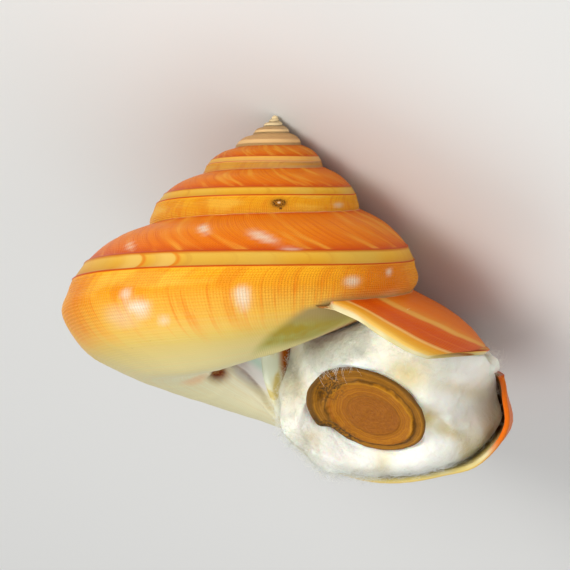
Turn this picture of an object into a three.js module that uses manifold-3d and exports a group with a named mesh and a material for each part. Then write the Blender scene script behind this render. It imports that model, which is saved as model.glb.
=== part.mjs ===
// Teramachi slit shell with the cotton wad in its mouth and the horny lid that lies on the cotton.
// Millimetres, +Z up. The shell is worked out in its own frame (tip at the origin, axis down -Z) and
// then laid on its back, with its mouth facing up.
import * as THREE from "three";
import { mergeVertices } from "three/addons/utils/BufferGeometryUtils.js";
import { ParametricGeometry } from "three/addons/geometries/ParametricGeometry.js";
import Module from "manifold-3d";

const wasm = await Module();
wasm.setup();

// Section of the last turn at the mouth: distance from the axis and depth below the tip.
// The list runs from the suture (place 0) over the upper slope, the slit band (places 2 to 3), the
// edge of the turn and the base to the rim of the umbilicus (place 10) and up its wall (place 14).
const SECTION = [
  [33.0, 35.0], [41.4, 39.7], [48.5, 47.0], [51.6, 51.9], [52.8, 55.7], [54.0, 62.2], [48.1, 69.9],
  [40.7, 73.1], [30.5, 75.6], [21.0, 74.8], [13.9, 71.0], [9.7, 64.1], [7.6, 56.3], [6.3, 48.7],
  [6.5, 41.6],
];
const LAST_PLACE = SECTION.length - 1;
const RIM_PLACE = 10;
const SECTION_CENTRE = new THREE.Vector2(32, 57);

// Growth of the section, as powers of e in turns before the mouth.
const WIDER = [0.504, -0.011, 0];
const DEEPER = [0.649, 0.0312, 0.0014];
const TIP = { radius: 0.75, depth: 1.3 };

// The suture lies on the turn before, at place SUTURE.place of it at the mouth and nearer its slit
// band on the spire. The section's top edge is drawn to it up to place SUTURE.blend.
const SUTURE = { place: 5.4, climb: 0.45, lowest: 4.2, highest: 5.5, blend: 1.6 };

// The base hangs a little lower than plain growth gives just before the mouth: SWELL.full is the
// share of that at a few places of the section.
const SWELL = { height: 0.12, turn: -0.68, width: 0.2, full: [[0, 0], [5, 0], [8, 1], [11, 1], [13.5, 0], [14, 0]] };

// The lip: how many turns past the mouth's zero line each place of the section ends.
const LIP = [
  [0, 0.18], [0.5, 0.167], [1, 0.16], [1.25, 0.153], [1.5, 0.144], [1.7, 0.134], [1.8, 0.126],
  [1.9, 0.037], [2, -0.007], [3, 0.005], [4, 0.03], [5, 0.045], [6, 0.03], [7, 0.02], [8, 0.015],
  [9, 0.02], [10, 0.04], [11, 0.115], [12, 0.15], [13, 0.185], [14, 0.2],
];

// Slivers smaller than this, left where two turns cross, are smoothed away.
const FINEST = 0.04;

const LIP_START = -0.15;

// The wall thins with the turns before the mouth and over the last stretch to the lip, and it is
// thicker in the pillar that runs up the axis.
const WALL = { plain: 1.8, lip: 1.2, pillar: 2.6, thinning: 0.6, lipStretch: 0.08 };
const CAVITY_START = -1.45;
const CAVITY_MIDDLE = -0.6;
const CAVITY_END = 0.34;
const CAVITY_STEPS = 18;

// GLAZE is the layer on the turn before, inside the mouth. SUNK is how far the back of a turn's ring
// lies inside the turn before, as a share of the way to the middle of its section.
const GLAZE = 0.3;
const SUNK = 0.2;

// The slit follows the middle of the band: half widths in places at shares of its rounded end, then
// straight from one turn to another in equal steps.
const SLIT = {
  place: 2.5, end: -0.09, round: 0.012, roundEnd: [[0, 0.12], [0.3, 0.36], [1, 0.5]],
  straight: { from: -0.06, to: 0.18, steps: 12, half: 0.5 }, depth: 5, stand: 3,
};

// The funnel of the umbilicus is closed this deep: distance from the axis and depth below the tip.
const PLUG = [
  [0, 1.3], [0.5, 1.3], [0.75, 1.9], [0.8, 3], [1.4, 5], [2.5, 8], [4, 13.8], [5.8, 24], [6.6, 37],
  [3, 34], [0, 33],
];

// The wad fills the last stretch of the cavity and swells out of the mouth towards MOUTH_FACING.
const GAP = 0.35;
const WAD = { start: -0.24, puff: 2.2, past: 1, firstShare: 0.15 };
const WAD_RIM = [
  [0, 0.13], [1.4, 0.12], [2.2, 0.06], [3.2, -0.005], [4.5, 0], [6, 0.01], [8, 0], [9.5, 0.02],
  [11, 0.09], [12, 0.12], [14, 0.13],
];
// The tuft of wool in the slit. Its turns are among those of the slit, so that the two don't cross.
const TUFT = { turns: [-0.06, -0.04, -0.02], half: 0.4, stand: 1.8, root: 4 };
const MOUTH_FACING = new THREE.Vector3(-0.1, -0.74, -0.66).normalize();

// The lid: an oval of horn, its outline's half sizes, where it lies and which way it faces.
const LID = { halfLength: 12.2, halfWidth: 10.8, middle: 0.8, spread: 1.4, lift: 1.9, fold: 0.62 };
const LID_PLACE = new THREE.Vector3(23.5, -15.6, -61.4);
const LID_FACING = new THREE.Vector3(-0.21, -0.736, -0.643).normalize();
const LID_TURN = -0.3;
const SEAT = { radius: 12, height: 0.6 };

// Half section of the lid: share of the outline's half size, and height above its underside.
const LID_SECTION = [
  [0, 0], [0.55, 0.1], [0.9, 0.35], [1, 0.75], [0.97, 1.1], [0.8, 0.95], [0.73, 1.5], [0.68, 1.6],
  [0.45, 1.35], [0.4, 1.6], [0.15, 1.45], [0, 1.4],
];

// The shell lies on the spire side of its back. UP is the way up in the shell's own frame, FRONT is
// the side that is turned to -Y, and the spots that it lies on are worn flat by WORN.
const UP = new THREE.Vector3(-0.4259, -0.5076, -0.749).normalize();
const FRONT = new THREE.Vector3(0, -1, -0.028);
const LOWEST = -0.5;
const WORN = 0.45;

const sectionCurve = new THREE.SplineCurve(SECTION.map(([radius, depth]) => new THREE.Vector2(radius, depth)));

const clamp = THREE.MathUtils.clamp;

function growth([first, second, third], turn) {
  return Math.exp(first * turn + second * turn ** 2 + third * turn ** 3);
}

// What a list of [place, value] pairs gives at one place of the section.
function valueOn(list, place) {
  const after = Math.max(list.findIndex(([at]) => at >= place), 1);
  const [[lowPlace, low], [highPlace, high]] = [list[after - 1], list[after]];
  return THREE.MathUtils.mapLinear(place, lowPlace, highPlace, low, high);
}

// Distance from the axis and depth below the tip of a plain section at any turn.
function plainSection(turn, place) {
  const point = sectionCurve.getPoint(place / LAST_PLACE);
  return new THREE.Vector2(point.x * growth(WIDER, turn), point.y * growth(DEEPER, turn));
}

// The plain section with its top edge moved to the suture and its base swollen near the mouth.
function section(turn, place) {
  const near = Math.exp(-(((turn - SWELL.turn) / SWELL.width) ** 2));
  const point = plainSection(turn, place);
  point.y *= 1 + SWELL.height * near * valueOn(SWELL.full, place);
  const onTurnBefore = clamp(SUTURE.place + SUTURE.climb * turn, SUTURE.lowest, SUTURE.highest);
  const suture = plainSection(turn - 1, onTurnBefore);
  const pull = THREE.MathUtils.smoothstep(1 - place / SUTURE.blend, 0, 1);
  return point.add(suture.sub(plainSection(turn, 0)).multiplyScalar(pull));
}

// The section moved along its own normal, out of the shell for a positive distance.
function offsetSection(turn, place, distance) {
  const step = 0.05;
  const before = section(turn, Math.max(place - step, 0));
  const after = section(turn, Math.min(place + step, LAST_PLACE));
  const along = after.sub(before).normalize();
  return section(turn, place).add(new THREE.Vector2(along.y, -along.x).multiplyScalar(distance));
}

// A right-handed shell: seen from the tip, the turns run clockwise towards the mouth.
function inSpace(turn, point) {
  const angle = -2 * Math.PI * turn;
  return new THREE.Vector3(point.x * Math.cos(angle), point.x * Math.sin(angle), -point.y);
}

function wallAt(turn, place) {
  const pillar = clamp((place - RIM_PLACE) / 2, 0, 1);
  const atLip = clamp(1 + (turn - valueOn(LIP, place)) / WALL.lipStretch, 0, 1);
  const shrink = growth(WIDER, Math.min(turn, 0)) ** WALL.thinning;
  const plain = THREE.MathUtils.lerp(WALL.plain, WALL.pillar, pillar) * shrink;
  return THREE.MathUtils.lerp(plain, THREE.MathUtils.lerp(WALL.lip, WALL.pillar, pillar), atLip);
}

function solid(geometry) {
  geometry.deleteAttribute("normal");
  geometry.deleteAttribute("uv");
  const welded = mergeVertices(geometry, 1e-4);
  const index = welded.index.array;
  const position = welded.attributes.position.array;
  const kept = [];
  let volume = 0;
  for (let i = 0; i < index.length; i += 3) {
    const [a, b, c] = [index[i], index[i + 1], index[i + 2]];
    if (a === b || b === c || c === a) continue;
    kept.push(a, b, c);
    const corners = [a, b, c].map((v) => new THREE.Vector3().fromArray(position, v * 3));
    volume += corners[0].dot(corners[1].cross(corners[2]));
  }
  if (volume < 0) kept.reverse();
  return new wasm.Manifold(new wasm.Mesh({
    numProp: 3,
    vertProperties: new Float32Array(position),
    triVerts: new Uint32Array(kept),
  }));
}

// A closed solid through a list of rings with equal counts, closed at each end by a fan.
function loft(rings) {
  const centre = (ring) => ring.reduce((sum, p) => sum.add(p), new THREE.Vector3()).divideScalar(ring.length);
  const pole = (ring) => ring.map(() => centre(ring));
  const rows = [pole(rings[0]), ...rings, pole(rings[rings.length - 1])];
  const around = rings[0].length;
  const skin = (u, v, target) => {
    const row = rows[Math.round(v * (rows.length - 1))];
    target.copy(row[Math.round(u * around) % around]);
  };
  return solid(new ParametricGeometry(skin, around, rows.length - 1));
}

function steps(from, to, count) {
  return Array.from({ length: count + 1 }, (_, i) => from + ((to - from) * i) / count);
}

// Places of the section that get a point: few on the spire, where the next turn hides the base.
const SPIRE_PLACES = [0, 0.5, 1, 1.5, 2, 3, 4, 4.8, 5.6, 7.2, 8.6, 10, 12, 14];
const TURN_PLACES = [
  0, 0.5, 1, 1.5, 2, 3, 3.6, 4.3, 5, 5.6, 6.3, 7, 8, 9, 10, 10.8, 11.8, 12.9, 14,
];
const LIP_PLACES = [...TURN_PLACES, 1.7, 1.8, 1.9].sort((a, b) => a - b);
const BACK_PLACES = [10, 8.6, 7.2];

function outerRing(places, turnAt) {
  const free = places.map((place) => inSpace(turnAt(place), section(turnAt(place), place)));
  const back = BACK_PLACES.map((place, i) => {
    const turn = THREE.MathUtils.lerp(turnAt(LAST_PLACE), turnAt(0), (i + 1) / (BACK_PLACES.length + 1));
    const centre = SECTION_CENTRE.clone();
    centre.x *= growth(WIDER, turn - 1);
    centre.y *= growth(DEEPER, turn - 1);
    return inSpace(turn, section(turn - 1, place).lerp(centre, SUNK));
  });
  return [...free, ...back];
}

function filledShell() {
  const stretches = [
    [-7, -6, 8, SPIRE_PLACES], [-6, -5, 8, SPIRE_PLACES], [-5, -4, 10, SPIRE_PLACES],
    [-4, -3, 13, SPIRE_PLACES], [-3, -2, 17, SPIRE_PLACES], [-2, -1.2, 17, SPIRE_PLACES],
    [-1.23, -0.6, 15, TURN_PLACES], [-0.6, LIP_START, 12, TURN_PLACES],
  ];
  const pieces = stretches.map(([from, to, count, places]) => loft(
    steps(from, to, count).map((turn) => outerRing(places, () => turn)),
  ));
  const lip = loft(steps(0, 1, 7).map((share) => outerRing(
    LIP_PLACES, (place) => THREE.MathUtils.lerp(LIP_START, valueOn(LIP, place), share),
  )));
  return pieces.reduce((whole, piece) => whole.add(piece), lip);
}

const INNER_PLACES = [0.75, 1.4, 2.2, 3.2, 4.2, 5, 5.8, 6.6, 7.5, 8.5, 9.5, 10.5, 11.5, 12.6, 13.7];
const PARIETAL_PLACES = [9.4, 8.4, 7.4, 6.5];
// A ring inside a gap leaves out the places past these, where the pillar meets the turn before.
const CORNER = { wall: 13, back: 9 };

function innerRing(turn, extra) {
  const clear = (places, corner) => places.filter((place) => extra === 0 || place < corner);
  const walls = clear(INNER_PLACES, CORNER.wall).map(
    (place) => offsetSection(turn, place, -(wallAt(turn, place) + extra)),
  );
  const parietal = clear(PARIETAL_PLACES, CORNER.back).map(
    (place) => offsetSection(turn - 1, place, GLAZE + extra),
  );
  return [...walls, ...parietal].map((point) => inSpace(turn, point));
}

function cavity() {
  const ring = (turn) => innerRing(turn, 0);
  const deep = loft(steps(CAVITY_START, CAVITY_MIDDLE, 11).map(ring));
  return deep.add(loft(steps(CAVITY_MIDDLE, CAVITY_END, CAVITY_STEPS).map(ring)));
}

// The slit: a cutter along the band, narrow and rounded at its far end.
function slitRing(turn, half, out, root) {
  const corners = [[-half, out], [half, out], [half, -root], [-half, -root]];
  return corners.map(([across, height]) => inSpace(turn, offsetSection(turn, SLIT.place + across, height)));
}

function slitCutter() {
  const { from, to, steps: count, half: straightHalf } = SLIT.straight;
  const roundEnd = SLIT.roundEnd.map(([share, half]) => (
    slitRing(SLIT.end + SLIT.round * share, half, SLIT.stand, SLIT.depth)
  ));
  const straight = steps(from, to, count).map((turn) => slitRing(turn, straightHalf, SLIT.stand, SLIT.depth));
  return loft([...roundEnd, ...straight]);
}

function plug() {
  const profile = PLUG.map(([radius, depth]) => new THREE.Vector2(radius, -depth)).reverse();
  const turned = new THREE.LatheGeometry(profile, 14);
  turned.rotateX(Math.PI / 2);
  return solid(turned);
}

function tip() {
  const sphere = new THREE.SphereGeometry(TIP.radius, 12, 8);
  sphere.translate(0, 0, -TIP.depth);
  return solid(sphere);
}

// The wad: what is left of the cavity inside a gap, cut off by a dome that swells out of the mouth.
function domeRing(share) {
  const turnAt = (place) => THREE.MathUtils.lerp(WAD.start, valueOn(WAD_RIM, place), share);
  const walls = INNER_PLACES.map((place) => inSpace(turnAt(place), offsetSection(turnAt(place), place, WAD.past)));
  const back = PARIETAL_PLACES.map((place) => {
    const turn = turnAt(0);
    return inSpace(turn, offsetSection(turn - 1, place, -WAD.past));
  });
  return [...walls, ...back];
}

// The front of the wad rises from the rim in a puffed ring to the seat that the lid lies on.
function dome() {
  const rings = steps(0, 1, 5).map(domeRing);
  const rim = rings[rings.length - 1];
  const seat = rim.map((point) => {
    const across = point.clone().sub(LID_PLACE).projectOnPlane(LID_FACING).normalize();
    return LID_PLACE.clone().addScaledVector(across, SEAT.radius).addScaledVector(LID_FACING, SEAT.height);
  });
  const front = steps(WAD.firstShare, 1, 5).map((share) => rim.map((point, i) => (
    point.clone().lerp(seat[i], share).addScaledVector(MOUTH_FACING, WAD.puff * Math.sin(share * Math.PI))
  )));
  return loft([...rings, ...front]);
}

function tuft() {
  return loft(TUFT.turns.map((turn) => slitRing(turn, TUFT.half, TUFT.stand, TUFT.root)));
}

function wad() {
  const turns = steps(CAVITY_MIDDLE, CAVITY_END, CAVITY_STEPS).filter((turn) => turn > WAD.start);
  const fill = loft(turns.map((turn) => innerRing(turn, GAP)));
  return fill.intersect(dome()).add(tuft());
}

// The lid in its own frame: outline in XY, outer face up, the fold along its left end.
function lidGeometry(grow) {
  const outline = LID_SECTION.map(([share, height]) => new THREE.Vector2(
    share * (LID.halfLength + grow), height + (height - LID.middle) * LID.spread * grow,
  ));
  const disc = new THREE.LatheGeometry(outline, 30);
  disc.rotateX(Math.PI / 2);
  disc.scale(1, (LID.halfWidth + grow) / (LID.halfLength + grow), 1);
  const position = disc.attributes.position;
  for (let i = 0; i < position.count; i++) {
    const past = clamp(-position.getX(i) / LID.halfLength - LID.fold, 0, 1) / (1 - LID.fold);
    position.setZ(i, position.getZ(i) + LID.lift * past ** 2);
  }
  const facing = new THREE.Quaternion().setFromUnitVectors(new THREE.Vector3(0, 0, 1), LID_FACING);
  disc.rotateZ(LID_TURN);
  disc.applyQuaternion(facing);
  disc.translate(LID_PLACE.x, LID_PLACE.y, LID_PLACE.z);
  return disc;
}

function meshOf(name, body, colour, roughness) {
  const { vertProperties, triVerts } = body.simplify(FINEST).getMesh();
  const geometry = new THREE.BufferGeometry();
  geometry.setAttribute("position", new THREE.BufferAttribute(new Float32Array(vertProperties), 3));
  geometry.setIndex(new THREE.BufferAttribute(new Uint32Array(triVerts), 1));
  geometry.computeVertexNormals();
  const mesh = new THREE.Mesh(geometry, new THREE.MeshStandardMaterial({ color: colour, roughness, metalness: 0 }));
  mesh.name = name;
  return mesh;
}

const right = new THREE.Vector3().crossVectors(UP, FRONT).normalize();
const lying = new THREE.Matrix4().makeBasis(right, new THREE.Vector3().crossVectors(UP, right), UP).transpose();

function floorBox() {
  const box = new THREE.BoxGeometry(200, 200, 20);
  box.translate(0, 0, LOWEST + WORN - 10);
  box.applyMatrix4(lying.clone().transpose());
  return solid(box);
}

const shell = filledShell().add(plug()).add(tip())
  .subtract(cavity()).subtract(slitCutter()).subtract(floorBox());

const cotton = wad().subtract(solid(lidGeometry(GAP)));
const lid = solid(lidGeometry(0));

const group = new THREE.Group();
group.add(meshOf("shell", shell, 0xe08a35, 0.35));
group.add(meshOf("cotton_wad", cotton, 0xf2efe4, 1));
group.add(meshOf("operculum", lid, 0x9a5a12, 0.4));
group.setRotationFromMatrix(lying);
const box = new THREE.Box3().setFromObject(group, true);
const centre = box.getCenter(new THREE.Vector3());
group.position.set(-centre.x, -centre.y, -box.min.z);

export default group;
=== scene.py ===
"""Teramachi slit shell with cotton wool in its mouth and the horny lid on it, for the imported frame.

The shell is worked out in millimetres in its own frame (tip at the origin, axis down -Z), as a
section that grows and turns. Lying carries points from that frame to the row frame in metres.
"""
import logging
import math
from dataclasses import dataclass
from enum import Enum

import bpy
import numpy as np
from mathutils import Matrix, Vector


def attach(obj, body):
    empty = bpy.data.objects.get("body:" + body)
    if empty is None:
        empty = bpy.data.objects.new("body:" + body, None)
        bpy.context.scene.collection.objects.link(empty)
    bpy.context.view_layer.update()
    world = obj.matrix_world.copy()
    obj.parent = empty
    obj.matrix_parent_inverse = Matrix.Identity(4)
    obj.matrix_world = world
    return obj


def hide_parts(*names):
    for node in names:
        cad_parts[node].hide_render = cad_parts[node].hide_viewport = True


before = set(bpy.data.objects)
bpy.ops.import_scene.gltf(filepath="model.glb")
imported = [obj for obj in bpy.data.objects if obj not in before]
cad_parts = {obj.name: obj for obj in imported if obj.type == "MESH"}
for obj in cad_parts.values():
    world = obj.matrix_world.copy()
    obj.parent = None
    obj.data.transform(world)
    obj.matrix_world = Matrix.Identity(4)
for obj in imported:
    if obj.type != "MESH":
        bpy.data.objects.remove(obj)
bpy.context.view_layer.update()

logging.basicConfig(level=logging.INFO, format="%(message)s")
log = logging.getLogger("shell")

MM = 0.001


def linear(red: int, green: int, blue: int) -> tuple[float, float, float, float]:
    """A screen colour of 0 to 255 as the linear colour that shaders take."""
    def one(value: int) -> float:
        """One channel, made linear."""
        share = value / 255
        return share / 12.92 if share <= 0.04045 else ((share + 0.055) / 1.055) ** 2.4
    return (one(red), one(green), one(blue), 1.0)


def smooth(low: float, high: float, value: np.ndarray) -> np.ndarray:
    """A soft step from 0 at low to 1 at high."""
    share = np.clip((value - low) / (high - low), 0, 1)
    return share * share * (3 - 2 * share)


def bump(value: np.ndarray, middle: float, width: float) -> np.ndarray:
    """A bell curve of height 1 round middle."""
    return np.exp(-(((value - middle) / width) ** 2))


def table(pairs: tuple, value: np.ndarray) -> np.ndarray:
    """What a table of pairs gives at a value, straight between its rows."""
    return np.interp(value, *np.array(pairs).T)


def tube_faces(rows: int, columns: int) -> list:
    """Faces of a tube of rings, closed by fans round two end points that come after its rings."""
    faces = []
    for column in range(columns):
        after = (column + 1) % columns
        for low in range(0, (rows - 1) * columns, columns):
            faces.append((low + column, low + after, low + columns + after, low + columns + column))
        faces.append((column, after, rows * columns))
        faces.append(((rows - 1) * columns + column, (rows - 1) * columns + after, rows * columns + 1))
    return faces


class Node(Enum):
    """The frame's nodes that the pieces stand in for, each with its material slot."""

    SHELL = ("shell", "shell")
    WAD = ("cotton_wad", "cotton")
    LID = ("operculum", "horn")


@dataclass(frozen=True)
class SpiralForm:
    """The growing section of the shell: where each turn and place of it lies, in millimetres."""

    section_points: tuple = (
        (33.0, 35.0), (41.4, 39.7), (48.5, 47.0), (51.6, 51.9), (52.8, 55.7), (54.0, 62.2), (48.1, 69.9),
        (40.7, 73.1), (30.5, 75.6), (21.0, 74.8), (13.9, 71.0), (9.7, 64.1), (7.6, 56.3), (6.3, 48.7),
        (6.5, 41.6),
    )
    centre: tuple = (32.0, 57.0)
    wider: tuple = (0.504, -0.011)
    deeper: tuple = (0.649, 0.0312, 0.0014)
    lip: tuple = (
        (0, 0.18), (0.5, 0.167), (1, 0.16), (1.25, 0.153), (1.5, 0.144), (1.7, 0.134), (1.8, 0.126),
        (1.9, 0.037), (2, -0.007), (3, 0.005), (4, 0.03), (5, 0.045), (6, 0.03), (7, 0.02), (8, 0.015),
        (9, 0.02), (10, 0.04), (11, 0.115), (12, 0.158), (13, 0.205), (14, 0.23),
    )
    old_lag: tuple = (
        (0, 0.06), (0.5, 0.054), (1, 0.043), (1.3, 0.031), (1.6, 0.015), (1.85, 0.004), (2, 0), (3, 0),
        (3.25, 0.003), (3.5, 0.0055), (3.8, 0.008), (4.2, 0.0102), (4.6, 0.011), (5, 0.0106), (5.4, 0.009),
        (6, 0.004), (7, -0.008), (8, -0.018), (10, -0.01), (14, 0.09),
    )
    young_lag: tuple = (
        (0, 0.118), (0.5, 0.114), (0.9, 0.104), (1.4, 0.077), (1.95, 0.013), (3, 0), (4, 0.025), (5, 0.04),
        (6, 0.025), (8, 0.01), (10, 0.035), (12, 0.145), (14, 0.195),
    )
    swelling: tuple = (-0.68, 0.2, 0.12)
    low_band: tuple = (-0.85, 0.28)
    low_edges: tuple = (0.33, 0.5)
    lobe_zone: float = 1.97
    lobe_width: float = 0.062

    @property
    def last(self) -> int:
        """The last place of the section."""
        return len(self.section_points) - 1

    def width(self, turn: np.ndarray) -> np.ndarray:
        """How wide the section is at a turn, against the mouth."""
        return np.exp(self.wider[0] * turn + self.wider[1] * turn ** 2)

    def depth(self, turn: np.ndarray) -> np.ndarray:
        """How deep the section is at a turn, against the mouth."""
        first, second, third = self.deeper
        return np.exp(first * turn + second * turn ** 2 + third * turn ** 3)

    def curve(self, place: np.ndarray) -> np.ndarray:
        """Points of the section at the mouth: a smooth curve through section_points."""
        points = np.array(self.section_points)
        place = np.clip(place, 0, self.last)
        low = np.minimum(place.astype(int), self.last - 1)
        share = (place - low)[..., None]
        start, end = points[low], points[low + 1]
        before = np.where((low == 0)[..., None], start, points[np.maximum(low - 1, 0)])
        after = np.where((low == self.last - 1)[..., None], end, points[np.minimum(low + 2, self.last)])
        leaving, arriving = (end - before) / 2, (after - start) / 2
        cubic = 2 * start - 2 * end + leaving + arriving
        square = -3 * start + 3 * end - 2 * leaving - arriving
        return ((cubic * share + square) * share + leaving) * share + start

    def plain(self, turn: np.ndarray, place: np.ndarray) -> np.ndarray:
        """The section at a turn by plain growth."""
        point = self.curve(place)
        return np.stack([point[..., 0] * self.width(turn), point[..., 1] * self.depth(turn)], axis=-1)

    def section(self, turn: np.ndarray, place: np.ndarray) -> np.ndarray:
        """The section at a turn, with its top edge on the suture and its base swollen near the mouth.

        Args:
            turn: turns past the mouth, below 0 for the older shell.
            place: place along the section, of the same shape as turn.

        Returns:
            Distances from the axis and depths below the tip, in millimetres.
        """
        turn, place = np.broadcast_arrays(np.asarray(turn, float), np.asarray(place, float))
        point = self.plain(turn, place)
        low = np.clip((place - 5) / 3, 0, 1) * np.clip((13.5 - place) / 2.5, 0, 1)
        middle, width, height = self.swelling
        point[..., 1] *= 1 + height * bump(turn, middle, width) * low
        suture = self.plain(turn - 1, np.clip(5.4 + 0.45 * turn, 4.2, 5.5))
        pull = smooth(0, 1, 1 - place / 1.6)
        return point + (suture - self.plain(turn, np.zeros_like(place))) * pull[..., None]

    def offset(self, turn: np.ndarray, place: np.ndarray, distance: np.ndarray) -> np.ndarray:
        """The section moved along its own normal, out of the shell for a positive distance."""
        turn, place = np.broadcast_arrays(np.asarray(turn, float), np.asarray(place, float))
        before = self.section(turn, np.maximum(place - 0.05, 0))
        along = self.section(turn, np.minimum(place + 0.05, self.last)) - before
        along /= np.linalg.norm(along, axis=-1, keepdims=True)
        out = np.stack([along[..., 1], -along[..., 0]], axis=-1)
        return self.section(turn, place) + out * np.asarray(distance)[..., None]

    def in_space(self, turn: np.ndarray, point: np.ndarray) -> np.ndarray:
        """Section points turned round the axis: the turns run clockwise seen from the tip."""
        angle = -2 * np.pi * turn
        radius, depth = point[..., 0], point[..., 1]
        return np.stack([radius * np.cos(angle), radius * np.sin(angle), -depth], axis=-1)

    def lip_turn(self, place: np.ndarray) -> np.ndarray:
        """The turn at which the lip ends at each place."""
        return table(self.lip, place)

    def place_of(self, turn: np.ndarray, zone: np.ndarray) -> np.ndarray:
        """The place of a zone: zones 2 to 3 are the slit band, which lies lower on part of the last turn."""
        turn, zone = np.broadcast_arrays(np.asarray(turn, float), np.asarray(zone, float))
        lower = bump(turn, *self.low_band)
        top, foot = 2 + self.low_edges[0] * lower, 3 + self.low_edges[1] * lower
        above = zone * top / 2
        band = top + (zone - 2) * (foot - top)
        below = foot + (zone - 3) * (5 - foot) / 2
        return np.select([zone <= 2, zone <= 3, zone <= 5], [above, band, below], zone)

    def age(self, turn: np.ndarray, zone: np.ndarray) -> np.ndarray:
        """The turn at which the shell had grown this far at the band: equal along each growth line."""
        young = table(self.young_lag, zone)
        share = smooth(-0.35, -0.02, turn)
        age = turn - (table(self.old_lag, zone) * (1 - share) + young * share)
        over_slit = zone < self.lobe_zone
        on_lobe = smooth(0.0, 0.02, age) * over_slit
        to_lip = np.maximum(self.lip_turn(self.place_of(turn, zone)) - young, 0.012)
        return np.where(over_slit & (age > 0), age * (1 - on_lobe + on_lobe * self.lobe_width / to_lip), age)


@dataclass(frozen=True)
class Lying:
    """How the shell lies: its own frame in millimetres turned and moved into the row frame in metres."""

    up: tuple = (-0.4259, -0.5076, -0.749)
    front: tuple = (0, -1, -0.028)
    shift: tuple = (31.367, -22.025, 0.05)
    tilt: float = math.radians(3.96)
    pitch: float = math.radians(1.6)

    @property
    def turned(self) -> np.ndarray:
        """Rows of the turning matrix."""
        up = np.array(self.up) / np.linalg.norm(self.up)
        right = np.cross(up, self.front)
        right /= np.linalg.norm(right)
        return np.array([right, np.cross(up, right), up])

    def place(self, points: np.ndarray) -> np.ndarray:
        """Points of the shell's own frame in the row frame, kept on or over the floor."""
        lying = (points @ self.turned.T + np.array(self.shift)) * MM
        lying[..., 2] = np.maximum(lying[..., 2], 0)
        return lying

    def direction(self, vector: np.ndarray) -> np.ndarray:
        """A direction of the shell's own frame in the row frame."""
        return self.turned @ np.asarray(vector, float)

    @property
    def seen(self) -> np.ndarray:
        """Right and up of the photo in the shell's own frame, as rows."""
        sine, cosine = math.sin(self.tilt), math.cos(self.tilt)
        low, high = math.sin(self.pitch), math.cos(self.pitch)
        return np.array([(cosine, -sine * low, sine * high), (-sine, -cosine * low, cosine * high)])


@dataclass
class Skin:
    """Vertices, faces and per-vertex values of one closed island of a piece."""

    points: np.ndarray
    faces: list
    values: dict

    @staticmethod
    def joined(skins: list["Skin"]) -> "Skin":
        """Several islands as one."""
        faces, start = [], 0
        for skin in skins:
            faces += [tuple(corner + start for corner in face) for face in skin.faces]
            start += len(skin.points)
        values = {name: np.concatenate([skin.values[name] for skin in skins]) for name in skins[0].values}
        return Skin(np.vstack([skin.points for skin in skins]), faces, values)


class Piece:
    """One finished piece of the object: a mesh in the row frame with its finish."""

    def __init__(self, name: str, material: bpy.types.Material) -> None:
        """Keeps the piece's name and finish."""
        self.name = name
        self.material = material

    def mesh_from(self, skin: Skin) -> bpy.types.Object:
        """A new object from a skin.

        Args:
            skin: the closed islands, in metres in the row frame.

        Returns:
            The object, at the origin, with its values as attributes and its faces shaded smooth.
        """
        mesh = bpy.data.meshes.new(self.name)
        mesh.from_pydata(skin.points.tolist(), [], skin.faces)
        for name, value in skin.values.items():
            layer = mesh.attributes.new(name, "FLOAT", "POINT")
            layer.data.foreach_set("value", np.asarray(value, np.float32))
        made = bpy.data.objects.new(self.name, mesh)
        bpy.context.scene.collection.objects.link(made)
        mesh.materials.append(self.material)
        self.close_up(made)
        return made

    @staticmethod
    def pick(*made: bpy.types.Object) -> None:
        """Selects these objects alone, with the first one active."""
        bpy.ops.object.select_all(action="DESELECT")
        for thing in made:
            thing.select_set(True)
        bpy.context.view_layer.objects.active = made[0]

    def close_up(self, made: bpy.types.Object) -> None:
        """Turns every face outward and shades the mesh smooth."""
        self.pick(made)
        bpy.ops.object.mode_set(mode="EDIT")
        bpy.ops.mesh.select_all(action="SELECT")
        bpy.ops.mesh.normals_make_consistent(inside=False)
        bpy.ops.object.mode_set(mode="OBJECT")
        bpy.ops.object.shade_smooth()
        made.select_set(False)

    def apply_all(self, made: bpy.types.Object) -> None:
        """Applies the modifiers of a piece in their order."""
        self.pick(made)
        for label in [modifier.name for modifier in made.modifiers]:
            bpy.ops.object.modifier_apply(modifier=label)
        made.select_set(False)

    @staticmethod
    def tie(made: bpy.types.Object, kind: Node) -> None:
        """Ties a finished piece to the frame and logs its size."""
        node, slot = kind.value
        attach(made, "root")
        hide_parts(node)
        triangles = sum(len(face.vertices) - 2 for face in made.data.polygons)
        log.info("%s: %d vertices, %d triangles", made.name, len(made.data.vertices), triangles)


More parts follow.
